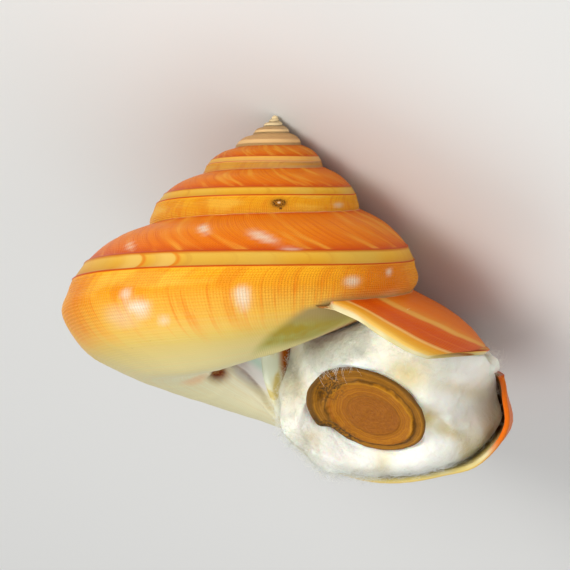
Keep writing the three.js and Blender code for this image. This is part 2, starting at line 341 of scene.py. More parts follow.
class Value:
    """A number or a colour at each point of a material, to reckon with."""

    def __init__(self, graph: "Graph", socket: bpy.types.NodeSocket) -> None:
        """Keeps the graph and the socket that gives the value."""
        self.graph = graph
        self.socket = socket

    def __add__(self, other) -> "Value":
        """The sum."""
        return self.graph.math("ADD", self, other)

    def __sub__(self, other) -> "Value":
        """The difference."""
        return self.graph.math("SUBTRACT", self, other)

    def __rsub__(self, other) -> "Value":
        """A plain number less this value."""
        return self.graph.math("SUBTRACT", other, self)

    def __mul__(self, other) -> "Value":
        """The product."""
        return self.graph.math("MULTIPLY", self, other)

    def __truediv__(self, other) -> "Value":
        """The quotient."""
        return self.graph.math("DIVIDE", self, other)

    def most(self, other) -> "Value":
        """The greater of two values."""
        return self.graph.math("MAXIMUM", self, other)

    def step(self, low: float, high: float, to_low: float = 0.0, to_high: float = 1.0) -> "Value":
        """A soft step where the value goes from low to high."""
        made = self.graph.node("ShaderNodeMapRange", interpolation_type="SMOOTHSTEP")
        names = ("Value", "From Min", "From Max", "To Min", "To Max")
        for name, given in zip(names, (self, low, high, to_low, to_high)):
            self.graph.join(made.inputs[name], given)
        return Value(self.graph, made.outputs["Result"])

    def fall(self, low: float, high: float, least: float = 0.0) -> "Value":
        """A soft step from 1 down to least."""
        return self.step(low, high, 1.0, least)

    def between(self, low: float, high: float, soft: float) -> "Value":
        """1 from low to high, with soft ends."""
        return self.step(low - soft, low + soft) * self.fall(high - soft, high + soft)

    def bell(self, middle: float, width: float) -> "Value":
        """1 at middle, falling softly to 0 at width from it."""
        return self.graph.math("ABSOLUTE", self - middle).fall(0.0, width)

    def away(self, other: "Value", spot: tuple, reach: tuple) -> "Value":
        """How far this value and another are from a spot, in shares of its reach."""
        first = (self - spot[0]) / reach[0]
        second = (other - spot[1]) / reach[1]
        return self.graph.math("SQRT", first * first + second * second)

    def under(self, *layers: tuple) -> "Value":
        """This colour under layers of screen tones, each a pair of its share and its tone."""
        colour = self
        for share, tone in layers:
            colour = self.graph.mix(share, colour, linear(*tone))
        return colour


class Graph:
    """A short way to write a material's nodes."""

    def __init__(self, name: str) -> None:
        """Starts an empty material."""
        self.material = bpy.data.materials.new(name)
        self.material.use_nodes = True
        self.tree = self.material.node_tree
        self.tree.nodes.clear()

    def node(self, kind: str, **settings) -> bpy.types.Node:
        """A new node with some of its properties set."""
        made = self.tree.nodes.new(kind)
        for name, value in settings.items():
            setattr(made, name, value)
        return made

    def join(self, socket: bpy.types.NodeSocket, value) -> None:
        """Links a socket to a value, or gives it a plain number or colour."""
        if isinstance(value, Value):
            self.tree.links.new(value.socket, socket)
        else:
            socket.default_value = value

    def attribute(self, name: str) -> Value:
        """A value that the mesh carries at each vertex."""
        return Value(self, self.node("ShaderNodeAttribute", attribute_name=name).outputs["Fac"])

    def where(self) -> Value:
        """The place of each point on the piece."""
        return Value(self, self.node("ShaderNodeTexCoord").outputs["Object"])

    def math(self, operation: str, *values) -> Value:
        """The result of a math node."""
        made = self.node("ShaderNodeMath", operation=operation)
        for socket, value in zip(made.inputs, values):
            self.join(socket, value)
        return Value(self, made.outputs[0])

    def mix(self, share, first, second) -> Value:
        """Two colours mixed."""
        made = self.node("ShaderNodeMix", data_type="RGBA")
        for place, given in (("Factor", share), (6, first), (7, second)):
            self.join(made.inputs[place], given)
        return Value(self, made.outputs[2])

    def blend(self, share, first: tuple, second: tuple) -> Value:
        """Two screen tones mixed."""
        return self.mix(share, linear(*first), linear(*second))

    def noise(self, where: Value, scale: float, detail: float, roughness: float) -> Value:
        """Noise from 0 to 1 at each place."""
        made = self.node("ShaderNodeTexNoise", noise_dimensions="3D")
        names = ("Vector", "Scale", "Detail", "Roughness")
        for name, given in zip(names, (where, scale, detail, roughness)):
            self.join(made.inputs[name], given)
        return Value(self, made.outputs[0])

    def grain(self, first, second, third, detail: float, roughness: float) -> Value:
        """Noise laid out along three values."""
        made = self.node("ShaderNodeCombineXYZ")
        for socket, part in zip(made.inputs, (first, second, third)):
            self.join(socket, part)
        return self.noise(Value(self, made.outputs[0]), 1.0, detail, roughness)

    def tones(self, value: Value, stops: tuple) -> Value:
        """A colour ramp over (value, screen colour) stops of any range."""
        low, high = stops[0][0], stops[-1][0]
        made = self.node("ShaderNodeValToRGB")
        elements = made.color_ramp.elements
        while len(elements) < len(stops):
            elements.new(1.0)
        for element, (at, tone) in zip(elements, stops):
            element.position = (at - low) / (high - low)
            element.color = linear(*tone)
        self.join(made.inputs["Fac"], (value - low) / (high - low))
        return Value(self, made.outputs["Color"])

    def finish(self, colour, settings: dict, height: Value | None = None,
               depth: float = 0.0) -> bpy.types.Material:
        """Ends the material with its shader.

        Args:
            colour: the base colour.
            settings: plain values of the shader's inputs, by their names.
            height: relief from a value, or none.
            depth: how deep a relief of 1 is, in metres.

        Returns:
            The material.
        """
        shader = self.node("ShaderNodeBsdfPrincipled")
        self.join(shader.inputs["Base Color"], colour)
        for name, value in settings.items():
            shader.inputs[name].default_value = value
        if height is not None:
            relief = self.node("ShaderNodeBump")
            relief.inputs["Strength"].default_value = 1.0
            relief.inputs["Distance"].default_value = depth
            self.join(relief.inputs["Height"], height)
            self.tree.links.new(relief.outputs["Normal"], shader.inputs["Normal"])
        out = self.node("ShaderNodeOutputMaterial")
        self.tree.links.new(shader.outputs["BSDF"], out.inputs["Surface"])
        return self.material


class Marks:
    """The values that the shell's mesh carries, and the ribs and cords that follow from them."""

    def __init__(self, g: Graph, rib_pitch: float, cord_pitch: float) -> None:
        """Reads the values and lays out the ribs and cords, each from -1 to 1."""
        self.zone, self.turn, self.age = (g.attribute(name) for name in ("zone", "turn", "age"))
        self.across, self.inside, self.pale = (g.attribute(name) for name in ("across", "inside", "pale"))
        self.edge, self.glaze, self.stain_and_shade = (g.attribute(name) for name in ("edge", "glaze", "stain_and_shade"))
        self.ribs = g.math("SINE", self.age * (2 * math.pi / rib_pitch))
        self.cords = g.math("SINE", self.across * (2 * math.pi / cord_pitch))


@dataclass(frozen=True)
class ShellFinish:
    """Colours of the shell by zone of the section, and the pitch of its sculpture."""

    zones: tuple = (
        (0.0, (236, 196, 160)), (0.035, (232, 176, 128)), (0.07, (206, 78, 14)), (0.3, (224, 116, 12)),
        (1.0, (228, 126, 8)), (1.6, (222, 110, 4)), (1.9, (200, 76, 2)), (1.98, (180, 60, 2)),
        (2.05, (200, 122, 26)), (2.14, (222, 170, 58)), (2.5, (214, 158, 42)), (2.88, (204, 140, 32)),
        (2.97, (184, 66, 2)), (3.06, (194, 76, 2)), (3.16, (246, 180, 38)), (3.6, (246, 172, 28)),
        (4.6, (238, 160, 30)), (5.6, (228, 174, 66)), (6.4, (218, 190, 98)), (7.4, (216, 202, 138)),
        (8.6, (224, 219, 172)), (9.8, (232, 228, 192)), (10.6, (238, 234, 206)), (14.0, (226, 214, 178)),
    )
    lobe: tuple = (
        (-0.08, (218, 108, 14)), (-0.03, (224, 112, 8)), (-0.012, (226, 130, 24)), (-0.005, (230, 166, 72)),
        (0.002, (230, 166, 72)), (0.008, (214, 92, 4)), (0.025, (206, 78, 2)), (0.043, (210, 90, 2)),
        (0.047, (236, 184, 104)), (0.0505, (230, 152, 34)), (0.057, (232, 166, 46)), (0.062, (238, 192, 92)),
    )
    rib_pitch: float = 0.0029
    cord_pitch: float = 0.95
    rib_depth: float = 0.00006
    lenses: tuple = (-0.6535, -0.6165)
    scar: tuple = ((-1.766, 4.17), (0.0105, 0.42))
    dot: tuple = ((-1.769, 4.72), (0.003, 0.12))

    def build(self) -> bpy.types.Material:
        """The shell's material.

        Returns:
            A glossy shell whose colours follow the zones and whose sculpture is bump.
        """
        g = Graph("shell")
        at = Marks(g, self.rib_pitch, self.cord_pitch)
        colour = self.on_lobe(g, at, self.on_band(g, at, self.streaked(g, at)))
        # Painted shade: the grooves between cords and ribs below the band are darkened to a deeper orange.
        groove = (at.ribs + at.cords).fall(-1.6, 0.6)
        below = at.zone.step(3.1, 3.4) * at.zone.fall(4.9, 6.0, 0.08)
        colour = colour.under((groove * below * 0.34, (218, 120, 10)),
                              (at.pale * at.ribs.step(-1.0, 1.0, 0.75, 1.0), (228, 218, 196)))
        colour = self.marks_and_shade(g, at, self.pillar(at, self.aged(g, at, colour)))
        low = at.zone.step(5.2, 6.2) * at.zone.fall(10.2, 11.0)
        colour = colour.under((at.edge.fall(0.004, 0.02) * low * 0.85, (226, 196, 108)))
        colour = g.mix(at.glaze, colour, self.glazed(g, at))
        colour = g.mix(at.inside.step(0.15, 0.6) * (1.0 - at.glaze), colour, self.nacre(g, at))
        plain = at.inside.fall(0.0, 0.2) * at.edge.step(0.002, 0.016) * at.glaze.fall(0.2, 0.9)
        gloss = {"Roughness": 0.36, "Specular IOR Level": 0.08, "Coat Weight": 0.02, "Coat Roughness": 0.2}
        return g.finish(colour, gloss, self.sculpture(at) * plain, self.rib_depth)

    def streaked(self, g: Graph, at: Marks) -> Value:
        """The zones' colours with streaks and flames along the growth lines, and a redder painted shade on
        the flanks of the last turn and beside the lip.
        """
        fine = g.grain(at.age * 230.0, at.across * 0.03, 0.0, 3.0, 0.65)
        wide = g.grain(at.age * 46.0, at.across * 0.05, 3.0, 2.0, 0.5)
        broad = g.grain(at.turn * 9.0, at.zone * 0.6, 5.0, 2.0, 0.5)
        lines = g.grain(at.turn * 3.0, at.across * 0.9, 2.0, 3.0, 0.7)
        slope = at.zone.fall(1.85, 1.97)
        below = at.zone.step(3.05, 3.25) * at.zone.fall(5.0, 7.0)
        # Painted shade: sides and young turn the tone below the band a redder orange on the flanks of the
        # last turn and beside the lip.
        sides = (at.turn.bell(-0.89, 0.1) * 0.8).most(at.turn.bell(-0.53, 0.06) * 0.5)
        young = at.turn.step(-0.13, -0.03) * at.zone.between(3.1, 6.2, 0.3)
        return g.tones(at.zone, self.zones).under(
            (fine.step(0.48, 0.66) * slope * 0.5, (206, 84, 2)),
            (wide.step(0.48, 0.68) * slope * 0.65, (236, 166, 56)),
            (fine.step(0.5, 0.68) * below * 0.6, (228, 122, 16)),
            (broad.step(0.5, 0.68) * below * 0.55, (250, 200, 78)),
            (wide.step(0.52, 0.66) * below * 0.4, (226, 120, 14)),
            (sides * below, (218, 108, 6)),
            (lines.step(0.36, 0.66) * at.zone.step(5.0, 7.0) * 0.3, (228, 196, 132)),
            (young * 0.85, (206, 84, 16)),
        )

    def on_band(self, g: Graph, at: Marks, colour: Value) -> Value:
        """Old ends of the slit along the band: pale lenses with a dark arc at their older end."""
        side = (at.zone - 2.5) * 2.0
        phase = at.turn + g.math("SQRT", (1.0 - side * side).most(0.0)) * 0.012
        in_band = at.zone.between(2.06, 2.94, 0.05)
        wave = g.grain(phase * 70.0, 0.0, 7.0, 3.0, 0.6)
        slow = g.grain(at.turn * 9.0, 0.0, 4.0, 1.0, 0.5)
        colour = colour.under((wave.step(0.5, 0.7) * in_band * 0.4, (192, 120, 26)),
                              (slow.step(0.45, 0.65) * in_band * 0.4, (200, 172, 84)))
        for start in self.lenses:
            lens = phase.step(start, start + 0.002) * phase.fall(start + 0.01, start + 0.034)
            arc = phase.bell(start - 0.002, 0.004) * in_band
            colour = colour.under((lens * in_band * 0.45, (224, 194, 112)), (arc * 0.65, (214, 100, 10)))
        return colour

    def on_lobe(self, g: Graph, at: Marks, colour: Value) -> Value:
        """Rays and the bright border of the young shell over the slit."""
        here = at.turn.step(-0.1, -0.03) * at.zone.fall(1.9, 1.98) * at.zone.step(0.04, 0.09)
        fine = g.grain(at.age * 330.0, at.across * 0.04, 6.0, 2.0, 0.6)
        rays = g.tones(at.age, self.lobe).under((fine.step(0.5, 0.7) * 0.4, (226, 126, 24)))
        return g.mix(here, colour, rays)

    @staticmethod
    def aged(g: Graph, at: Marks, colour: Value) -> Value:
        """The worn upper turns: pinkish bands that end in a cream tip."""
        lines = g.grain(at.turn * 2.0, at.across * 0.5, 8.0, 3.0, 0.6)
        pinkish = g.blend(lines.step(0.35, 0.65), (204, 164, 128), (226, 166, 84))
        old = at.turn.step(-2.3, -3.0) * at.zone.step(1.9, 2.1)
        return g.mix(old * 0.7, colour, pinkish).under(
            (at.turn.step(-3.0, -3.7) * 0.8, (222, 184, 128)),
            (at.turn.step(-4.4, -5.4) * 0.75, (236, 216, 170)))

    @staticmethod
    def pillar(at: Marks, colour: Value) -> Value:
        """The pearly pillar between the hole in the middle and the mouth, and a pink tint beside the hole."""
        tint = at.turn.away(at.zone, (-0.43, 9.4), (0.032, 0.55)).step(0.2, 1.3, 0.5, 0.0)
        here = at.turn.step(-0.36, -0.31) * at.zone.step(10.35, 10.6)
        return colour.under((tint, (236, 172, 120)), (here * 0.85, (240, 236, 234)),
                            (here * at.zone.bell(11.25, 0.35) * 0.65, (186, 226, 204)))

    def marks_and_shade(self, g: Graph, at: Marks, colour: Value) -> Value:
        """The scar on the second turn, the brown of the hole in the middle, partly stained shell and partly
        painted shade in its crease and pit, and specks.
        """
        grain = g.grain(at.turn * 420.0, at.zone * 9.0, 1.0, 3.0, 0.7)
        far = at.turn.away(at.zone, *self.scar)
        ring = far.bell(0.72, 0.75) * grain.step(0.36, 0.54)
        dot = at.turn.away(at.zone, *self.dot).step(0.5, 1.1, 0.85, 0.0)
        where = g.where()
        speck = g.noise(where, 900.0, 2.0, 0.6).step(0.755, 0.79)
        brown = g.blend(g.noise(where, 700.0, 3.0, 0.6).step(0.4, 0.62), (112, 44, 12), (150, 104, 54))
        marked = colour.under((far.fall(0.6, 2.4) * 0.35, (150, 88, 30)), (ring * 0.95, (48, 22, 12)),
                              (far.step(0.1, 0.34, 0.8, 0.0), (240, 220, 190)), (dot, (70, 34, 16)),
                              (speck * 0.55, (110, 74, 40)))
        # Brown round the middle hole: stained shell, with painted shade in its crease and pit.
        return g.mix(at.stain_and_shade, marked, brown)

    @staticmethod
    def glazed(g: Graph, at: Marks) -> Value:
        """The thin olive glaze that the mouth lays over the turn before."""
        cloud = g.grain(at.turn * 24.0, at.across * 0.09, 4.0, 3.0, 0.6)
        return g.blend(cloud.step(0.35, 0.65), (170, 146, 40), (170, 170, 92)).under(
            (at.zone.step(6.6, 5.7), (164, 142, 92)), (at.zone.step(7.2, 7.9), (224, 210, 146)),
            (at.ribs.step(-0.6, 0.8) * 0.2, (150, 134, 70)))

    @staticmethod
    def nacre(g: Graph, at: Marks) -> Value:
        """The inside: pearly cream near the lip, amber and brown further in as painted shade, with an orange
        rim.
        """
        cloud = g.grain(at.turn * 26.0, at.zone, 1.0, 2.0, 0.5)
        rim = at.zone.between(2.8, 5.5, 0.3) * at.edge.fall(0.003, 0.01)
        # The amber further in and the brown on the inner wall below the band are painted shade of the mouth's
        # inside.
        return g.blend(cloud.step(0.35, 0.65), (204, 186, 116), (226, 216, 172)).under(
            (at.zone.step(10.6, 11.6) * cloud.step(0.4, 0.6), (222, 228, 206)),
            (at.edge.step(0.035, 0.07), (172, 90, 18)),
            (at.zone.between(2.7, 5.5, 0.4) * 0.85, (150, 92, 30)), (rim, (222, 104, 12)))

    @staticmethod
    def sculpture(at: Marks) -> Value:
        """Height of the cords and ribs, strongest below the band."""
        below = at.zone.step(3.05, 3.3) * at.zone.fall(4.9, 6.2, 0.14)
        end = at.zone.fall(10.0, 11.0)
        slope = at.zone.fall(1.8, 1.95)
        return (at.cords * (below * end * 0.8 + slope * 0.12)
                + at.ribs * (below * end * 0.7 + slope * 0.35))


@dataclass(frozen=True)
class ShellSize:
    """Where the rings of the shell's mesh lie, its wall, its small relief and its pale spots.

    Lengths are millimetres. A pale spot is a turn, a zone, its reach in both, and its strength.
    """

    stretches: tuple = (
        (-7.0, -5.0, 50), (-5.0, -3.0, 90), (-3.0, -2.0, 70), (-2.0, -1.0, 110), (-1.0, -0.25, 174),
    )
    lip_rings: int = 94
    inner_from: float = -0.5
    wall: float = 1.8
    lip_wall: float = 1.1
    pillar_wall: float = 2.4
    round_over: float = 0.4
    pillar_round: float = 1.0
    glaze: float = 0.3
    glaze_edge: float = -0.06
    slit_end: float = -0.09
    slit_round: float = 0.012
    crease: tuple = (
        (-0.42, 10.2), (-0.36, 10.5), (-0.325, 10.65), (-0.309, 10.62), (-0.284, 10.58), (-0.262, 10.5),
        (-0.23, 10.33), (-0.211, 10.03), (-0.19, 9.75),
    )
    pit: tuple = (-0.38, 10.12, 0.034, 0.36)
    pit_depth: float = 1.6
    fold: float = 0.55
    groove: float = 0.9
    band_edge: float = 0.3
    band_dip: float = 0.12
    waves: tuple = (0.05, 0.04)
    lip_thinning: float = 0.08
    back_places: tuple = (9.5, 5.55, 28)
    glaze_ends: tuple = (
        (5.4, 0.18), (5.6, 0.203), (5.8, 0.213), (6.25, 0.226), (6.8, 0.238), (7.3, 0.247), (8.25, 0.268),
        (9.5, 0.235),
    )
    pale_spots: tuple = (
        (-0.676, 1.0, 0.006, 0.22, 0.85), (-0.745, 1.35, 0.010, 0.25, 0.75), (-0.597, 1.6, 0.005, 0.2, 0.6),
        (-0.622, 4.8, 0.006, 0.30, 0.7), (-0.633, 5.3, 0.012, 0.22, 1.0), (-0.732, 5.1, 0.007, 0.45, 0.85),
        (-0.838, 4.5, 0.009, 0.35, 0.75), (-0.891, 3.9, 0.005, 0.3, 0.7), (-0.775, 1.9, 0.010, 0.1, 0.5),
        (-1.88, 4.45, 0.012, 0.25, 0.6), (-0.61, 5.5, 0.02, 0.3, 0.35), (-0.90, 5.6, 0.02, 0.4, 0.3),
        (-0.655, 5.65, 0.006, 0.12, 0.6), (-0.12, 1.2, 0.012, 0.3, 0.7), (-0.33, 4.6, 0.01, 0.5, 0.7),
        (-0.2, 4.1, 0.008, 0.4, 0.6), (-0.45, 1.1, 0.01, 0.3, 0.7), (-1.2, 1.3, 0.012, 0.3, 0.6),
        (-1.35, 4.4, 0.01, 0.4, 0.5), (-1.12, 4.7, 0.01, 0.3, 0.5),
    )
    funnel_end: tuple = ((0, 30.5), (3.4, 31), (5.6, 33), (6.4, 36.4), (3.2, 34), (0, 32.6))
    tip: tuple = ((0, 0.62), (0.3, 0.7), (0.6, 0.95), (0.74, 1.35), (0.6, 1.8), (0, 2.0))


class Shell(Piece):
    """The shell in one closed skin: outside, lip, inside and slit."""

    def __init__(self, form: SpiralForm, lying: Lying, size: ShellSize, material: bpy.types.Material) -> None:
        """Keeps the form, how it lies and the sizes of the mesh."""
        super().__init__("shell_looks", material)
        self.form = form
        self.lying = lying
        self.size = size
        self.zones = np.concatenate([
            [0, 0.05, 0.1], np.linspace(0.2, 1.8, 12), [1.9, 1.95, 2.0, 2.05, 2.12], np.linspace(2.2, 2.8, 5),
            [2.88, 2.95, 3.0, 3.05, 3.12], np.linspace(3.3, 9.2, 28), np.linspace(9.3, 11.3, 34),
            np.linspace(11.6, 14, 9),
        ])
        self.back_columns = size.back_places[2]

    def turns(self) -> np.ndarray:
        """The turn of each ring at each zone column, from the tip to the lip."""
        rows = [np.linspace(low, high, count, endpoint=False) for low, high, count in self.size.stretches]
        plain = np.repeat(np.concatenate(rows)[:, None], len(self.zones), axis=1)
        start = self.size.stretches[-1][1]
        share = np.linspace(0, 1, self.size.lip_rings)[:, None] ** 0.85
        ending = start + (self.form.lip_turn(self.zones)[None, :] - start) * share
        return np.vstack([plain, ending])

    def past_crease(self, turn: np.ndarray, zone: np.ndarray) -> np.ndarray:
        """How far a point is past the crease round the middle hole, in places."""
        return zone - table(self.size.crease, turn)

    def near_crease(self, turn: np.ndarray) -> np.ndarray:
        """1 where the crease runs, fading at its ends."""
        return smooth(-0.47, -0.4, turn) * smooth(-0.17, -0.2, turn)

    def in_pit(self, turn: np.ndarray, zone: np.ndarray) -> np.ndarray:
        """1 in the middle of the small brown pit beside the crease."""
        at_turn, at_zone, long, broad = self.size.pit
        return np.exp(-(((turn - at_turn) / long) ** 2 + ((zone - at_zone) / broad) ** 2) ** 1.5)

    def relief(self, turn: np.ndarray, zone: np.ndarray) -> np.ndarray:
        """Height of the real relief, in millimetres.

        Args:
            turn: the turn of each point.
            zone: the zone of each point.

        Returns:
            The raised edges of the band, its hollow, slow growth waves, and the crease and pit in the middle.
        """
        size = self.size
        edges = size.band_edge * (bump(zone, 2.0, 0.07) + bump(zone, 3.0, 0.07))
        hollow = -size.band_dip * np.clip(1 - (2 * (zone - 2.5)) ** 2, 0, 1)
        age = self.form.age(turn, zone)
        calm = 1 - bump(zone, 2.5, 0.6)
        broad, fine = np.sin(age * 210) * np.sin(age * 37 + 1), np.sin(age * 95 + 2 * np.sin(zone))
        waves = size.waves[0] * broad + size.waves[1] * fine
        past = self.past_crease(turn, zone)
        sunk = size.groove * bump(past, 0.06, 0.1) + size.groove * smooth(0, 0.3, past)
        folded = (size.fold * bump(past, -0.27, 0.17) - sunk) * smooth(12.6, 11.4, zone)
        middle = (folded - size.pit_depth * self.in_pit(turn, zone)) * self.near_crease(turn)
        return (edges + hollow + waves * calm) * self.form.width(np.minimum(turn, 0)) + middle

    def wall(self, turn: np.ndarray, place: np.ndarray) -> np.ndarray:
        """Thickness of the wall."""
        size, form = self.size, self.form
        pillar = np.clip((place - 10) / 2, 0, 1)
        at_lip = np.clip(1 + (turn - form.lip_turn(place)) / size.lip_thinning, 0, 1)
        plain = (size.wall + (size.pillar_wall - size.wall) * pillar) * form.width(np.minimum(turn, 0)) ** 0.6
        return plain + (size.lip_wall + (size.pillar_wall - size.lip_wall) * pillar - plain) * at_lip

    def between(self, turns: np.ndarray) -> np.ndarray:
        """Turns of the columns that lead back from the last zone to the first."""
        share = np.linspace(0, 1, self.back_columns + 2)[1:-1]
        return turns[:, -1:] * (1 - share) + turns[:, :1] * share

    def outer(self, turns: np.ndarray) -> np.ndarray:
        """Outer rings: the free outside, and the way back inside the wall of the turn before."""
        form = self.form
        zone = np.broadcast_to(self.zones, turns.shape)
        place = form.place_of(turns, zone)
        free = form.in_space(turns, form.offset(turns, place, self.relief(turns, zone)))
        back_turn = self.between(turns)
        back_place = np.broadcast_to(np.linspace(10, 7.2, self.back_columns), back_turn.shape)
        inner = form.section(back_turn - 1, back_place)
        growth = np.stack([form.width(back_turn - 1), form.depth(back_turn - 1)], axis=-1)
        centre = np.array(form.centre) * growth
        back = form.in_space(back_turn, inner * 0.8 + centre * 0.2)
        return np.concatenate([free, back], axis=1)

    def inner(self, turns: np.ndarray) -> np.ndarray:
        """Inner rings: inside the wall, then over the turn before as a glaze that thins out to its edge."""
        form, size = self.form, self.size
        zone = np.interp(self.zones, (0, 2, 10, 14), (0.3, 2, 10, 13.7))
        place = form.place_of(turns, zone)
        free = form.in_space(turns, form.offset(turns, place, -self.wall(turns, place)))
        back_turn = self.over_before(turns)
        where = np.broadcast_to(np.linspace(*size.back_places), back_turn.shape)
        thick = size.glaze_edge + (size.glaze - size.glaze_edge) * smooth(0, 0.05, back_turn[-1] - back_turn)
        back = form.in_space(back_turn, form.offset(back_turn - 1, where, thick))
        return np.concatenate([free, back], axis=1)

    def over_before(self, turns: np.ndarray) -> np.ndarray:
        """Turns of the inner columns over the turn before, drawn to the edge of the glaze at the lip."""
        plain = self.between(turns)
        edge = self.glaze_turn(np.linspace(*self.size.back_places))
        return plain + (edge - plain[-1]) * smooth(-0.2, 0.17, plain)

    def glaze_turn(self, place: np.ndarray) -> np.ndarray:
        """The turn at which the glaze ends at each place of the turn before."""
        return table(self.size.glaze_ends, place)

    def pale_at(self, turn: np.ndarray, zone: np.ndarray) -> np.ndarray:
        """How pale the shell is, from the pale flames and clouds that show in the photo."""
        age = self.form.age(turn, zone)
        total = np.zeros_like(turn)
        for spot_turn, spot_zone, long, broad, strength in self.size.pale_spots:
            middle = float(self.form.age(np.array(spot_turn), np.array(spot_zone)))
            near = ((age - middle) / long) ** 2 + ((zone - spot_zone) / broad) ** 2
            total = np.maximum(total, strength * np.exp(-near ** 1.6))
        return total

    def values(self, turn: np.ndarray, zone: np.ndarray, inside: float) -> dict:
        """The values that the finish reads, for a grid of points.

        Args:
            turn: the turn of each point.
            zone: the zone of each point.
            inside: 0 on the outer skin, 1 on the inner one, between them on the rim.

        Returns:
            Flat arrays by name.
        """
        fine = np.linspace(0, self.form.last, 1401)
        run = np.linalg.norm(np.diff(self.form.curve(fine), axis=0), axis=1)
        across = np.interp(zone, fine, np.concatenate([[0], np.cumsum(run)]))
        outside = 1.0 if inside < 0.5 else 0.0
        place = self.form.place_of(turn, zone)
        glazed = smooth(0.012, -0.008, turn + 1 - self.glaze_turn(zone)) * smooth(5.2, 5.4, zone)
        glazed = glazed * smooth(9.6, 9.0, zone) * (turn > -1.2) * (turn < -0.6) * outside
        past = self.past_crease(turn, zone)
        # Brown along the crease, in a cloud and in the pit: partly stained shell, partly painted shade in the
        # crease and the pit.
        crease = 0.55 * bump(past, 0.07, 0.07) * smooth(-0.215, -0.26, turn)
        cloud = 0.45 * np.exp(-(((turn + 0.315) / 0.03) ** 2 + ((zone - 11.0) / 0.4) ** 2))
        pit = np.minimum(1, 1.25 * self.in_pit(turn, zone))
        stain_and_shade = np.maximum(np.maximum(crease, cloud), pit) * self.near_crease(turn) * outside
        made = {"turn": turn, "zone": zone, "age": self.form.age(turn, zone), "across": across,
                "inside": np.full(turn.shape, inside), "pale": self.pale_at(turn, zone) * outside,
                "edge": self.form.lip_turn(place) - turn, "glaze": glazed, "stain_and_shade": stain_and_shade}
        return {name: value.ravel() for name, value in made.items()}

    def skin(self) -> Skin:
        """The whole closed skin of the shell."""
        size, turns = self.size, self.turns()
        in_band = (self.zones > 1.99) & (self.zones < 3.01)
        slit_row = int(np.argmax(turns[:, self.zones == 2.5].ravel() > size.slit_end))
        rounding = np.sqrt(np.clip(1 - (2 * (self.zones - 2.5)) ** 2, 0, 1)) * in_band * size.slit_round
        for back in range(5):
            turns[slit_row - back] -= rounding * (1 - back / 5)
        outer = self.outer(turns)
        first_inner = int(np.argmax(turns[:, 0] > size.inner_from))
        inner = self.inner(turns[first_inner:])
        rim = self.rim(outer[-1], inner[-1], turns[-1])
        rings = np.concatenate([outer, rim, inner[::-1]], axis=0)
        turn = np.concatenate([turns, self.between(turns)], axis=1)
        zone = np.broadcast_to(np.append(self.zones, np.full(self.back_columns, 14.0)), turn.shape)
        parts = [self.values(turn, zone, 0.0)]
        behind = np.arange(turn.shape[1]) >= len(self.zones)
        inner_turn = np.concatenate([turns, self.over_before(turns) - 1], axis=1)
        inner_zone = np.append(self.zones, np.linspace(*size.back_places))
        lip, cavity = slice(-1, None), slice(None, first_inner - 1 if first_inner else None, -1)
        for which, inside in ((lip, 0.25), (lip, 0.6), (lip, 0.85), (cavity, 1.0)):
            rows, own = turn[which], inner_turn[which]
            part = self.values(own, np.broadcast_to(inner_zone, own.shape), inside)
            far = turn[-1:] - rows
            part["glaze"] = (behind * smooth(0.12, 0.07, far)).ravel()
            part["edge"] = np.where(behind, far * 0.5, part["edge"].reshape(rows.shape)).ravel()
            part["stain_and_shade"] = part["stain_and_shade"] * 0
            parts.append(part)
        values = {name: np.concatenate([part[name] for part in parts]) for name in parts[0]}
        faces = self.faces(len(outer), len(rings), outer.shape[1], slit_row, first_inner)
        points, values, faces = self.caps(rings, values, faces)
        return Skin(self.lying.place(points), faces, values)

    def rim(self, outer: np.ndarray, inner: np.ndarray, turn: np.ndarray) -> np.ndarray:
        """Three rings that round the lip over from the outer skin to the inner one."""
        middle, half = (outer + inner) / 2, (outer - inner) / 2
        unit = np.stack([np.ones_like(turn), np.zeros_like(turn)], axis=-1)
        ahead = self.form.in_space(turn + 0.003, unit) - self.form.in_space(turn, unit)
        ahead /= np.linalg.norm(ahead, axis=1, keepdims=True)
        heights = (self.size.round_over,) * 2 + (self.size.pillar_round,) * 2
        height = np.interp(self.zones, (0, 10, 11.5, 14), heights)
        forward = np.zeros_like(outer)
        forward[: len(self.zones)] = ahead * height[:, None]
        return np.array([middle + half * math.cos(angle) + forward * math.sin(angle)
                         for angle in (math.pi / 4, math.pi / 2, 3 * math.pi / 4)])

    def faces(self, outer_rows: int, rows: int, columns: int, slit_row: int, first_inner: int) -> list:
        """Quads between rings, with the slit left open and walled.

        Args:
            outer_rows: how many rings the outside has.
            rows: how many rings there are in all.
            columns: points of a ring.
            slit_row: the outer ring at the slit's closed end.
            first_inner: the outer ring that the deepest inner ring matches.

        Returns:
            The faces as tuples of vertex numbers.
        """
        low, high = (int(np.argmin(np.abs(self.zones - edge))) for edge in (2.0, 3.0))

        def mirror(row: int) -> int:
            """The inner ring that matches an outer one."""
            return rows - 1 - (row - first_inner)

        def at(row: int, column: int) -> int:
            """The number of a vertex."""
            return row * columns + column % columns

        def quad(row: int, other: int, column: int) -> tuple:
            """The face between two rings, from one column to the next."""
            return at(row, column), at(row, column + 1), at(other, column + 1), at(other, column)

        faces = []
        for row in range(rows - 1):
            in_slit_rows = slit_row <= row < mirror(slit_row)
            for column in range(columns):
                if in_slit_rows and low <= column < high:
                    continue
                faces.append(quad(row, row + 1, column))
        for column in (low, high):
            for row in range(slit_row, outer_rows - 1):
                faces.append((at(row, column), at(row + 1, column),
                              at(mirror(row + 1), column), at(mirror(row), column)))
            faces.append(tuple(at(row, column) for row in range(outer_rows - 1, mirror(outer_rows - 1) + 1)))
        return faces + [quad(slit_row, mirror(slit_row), column) for column in range(low, high)]

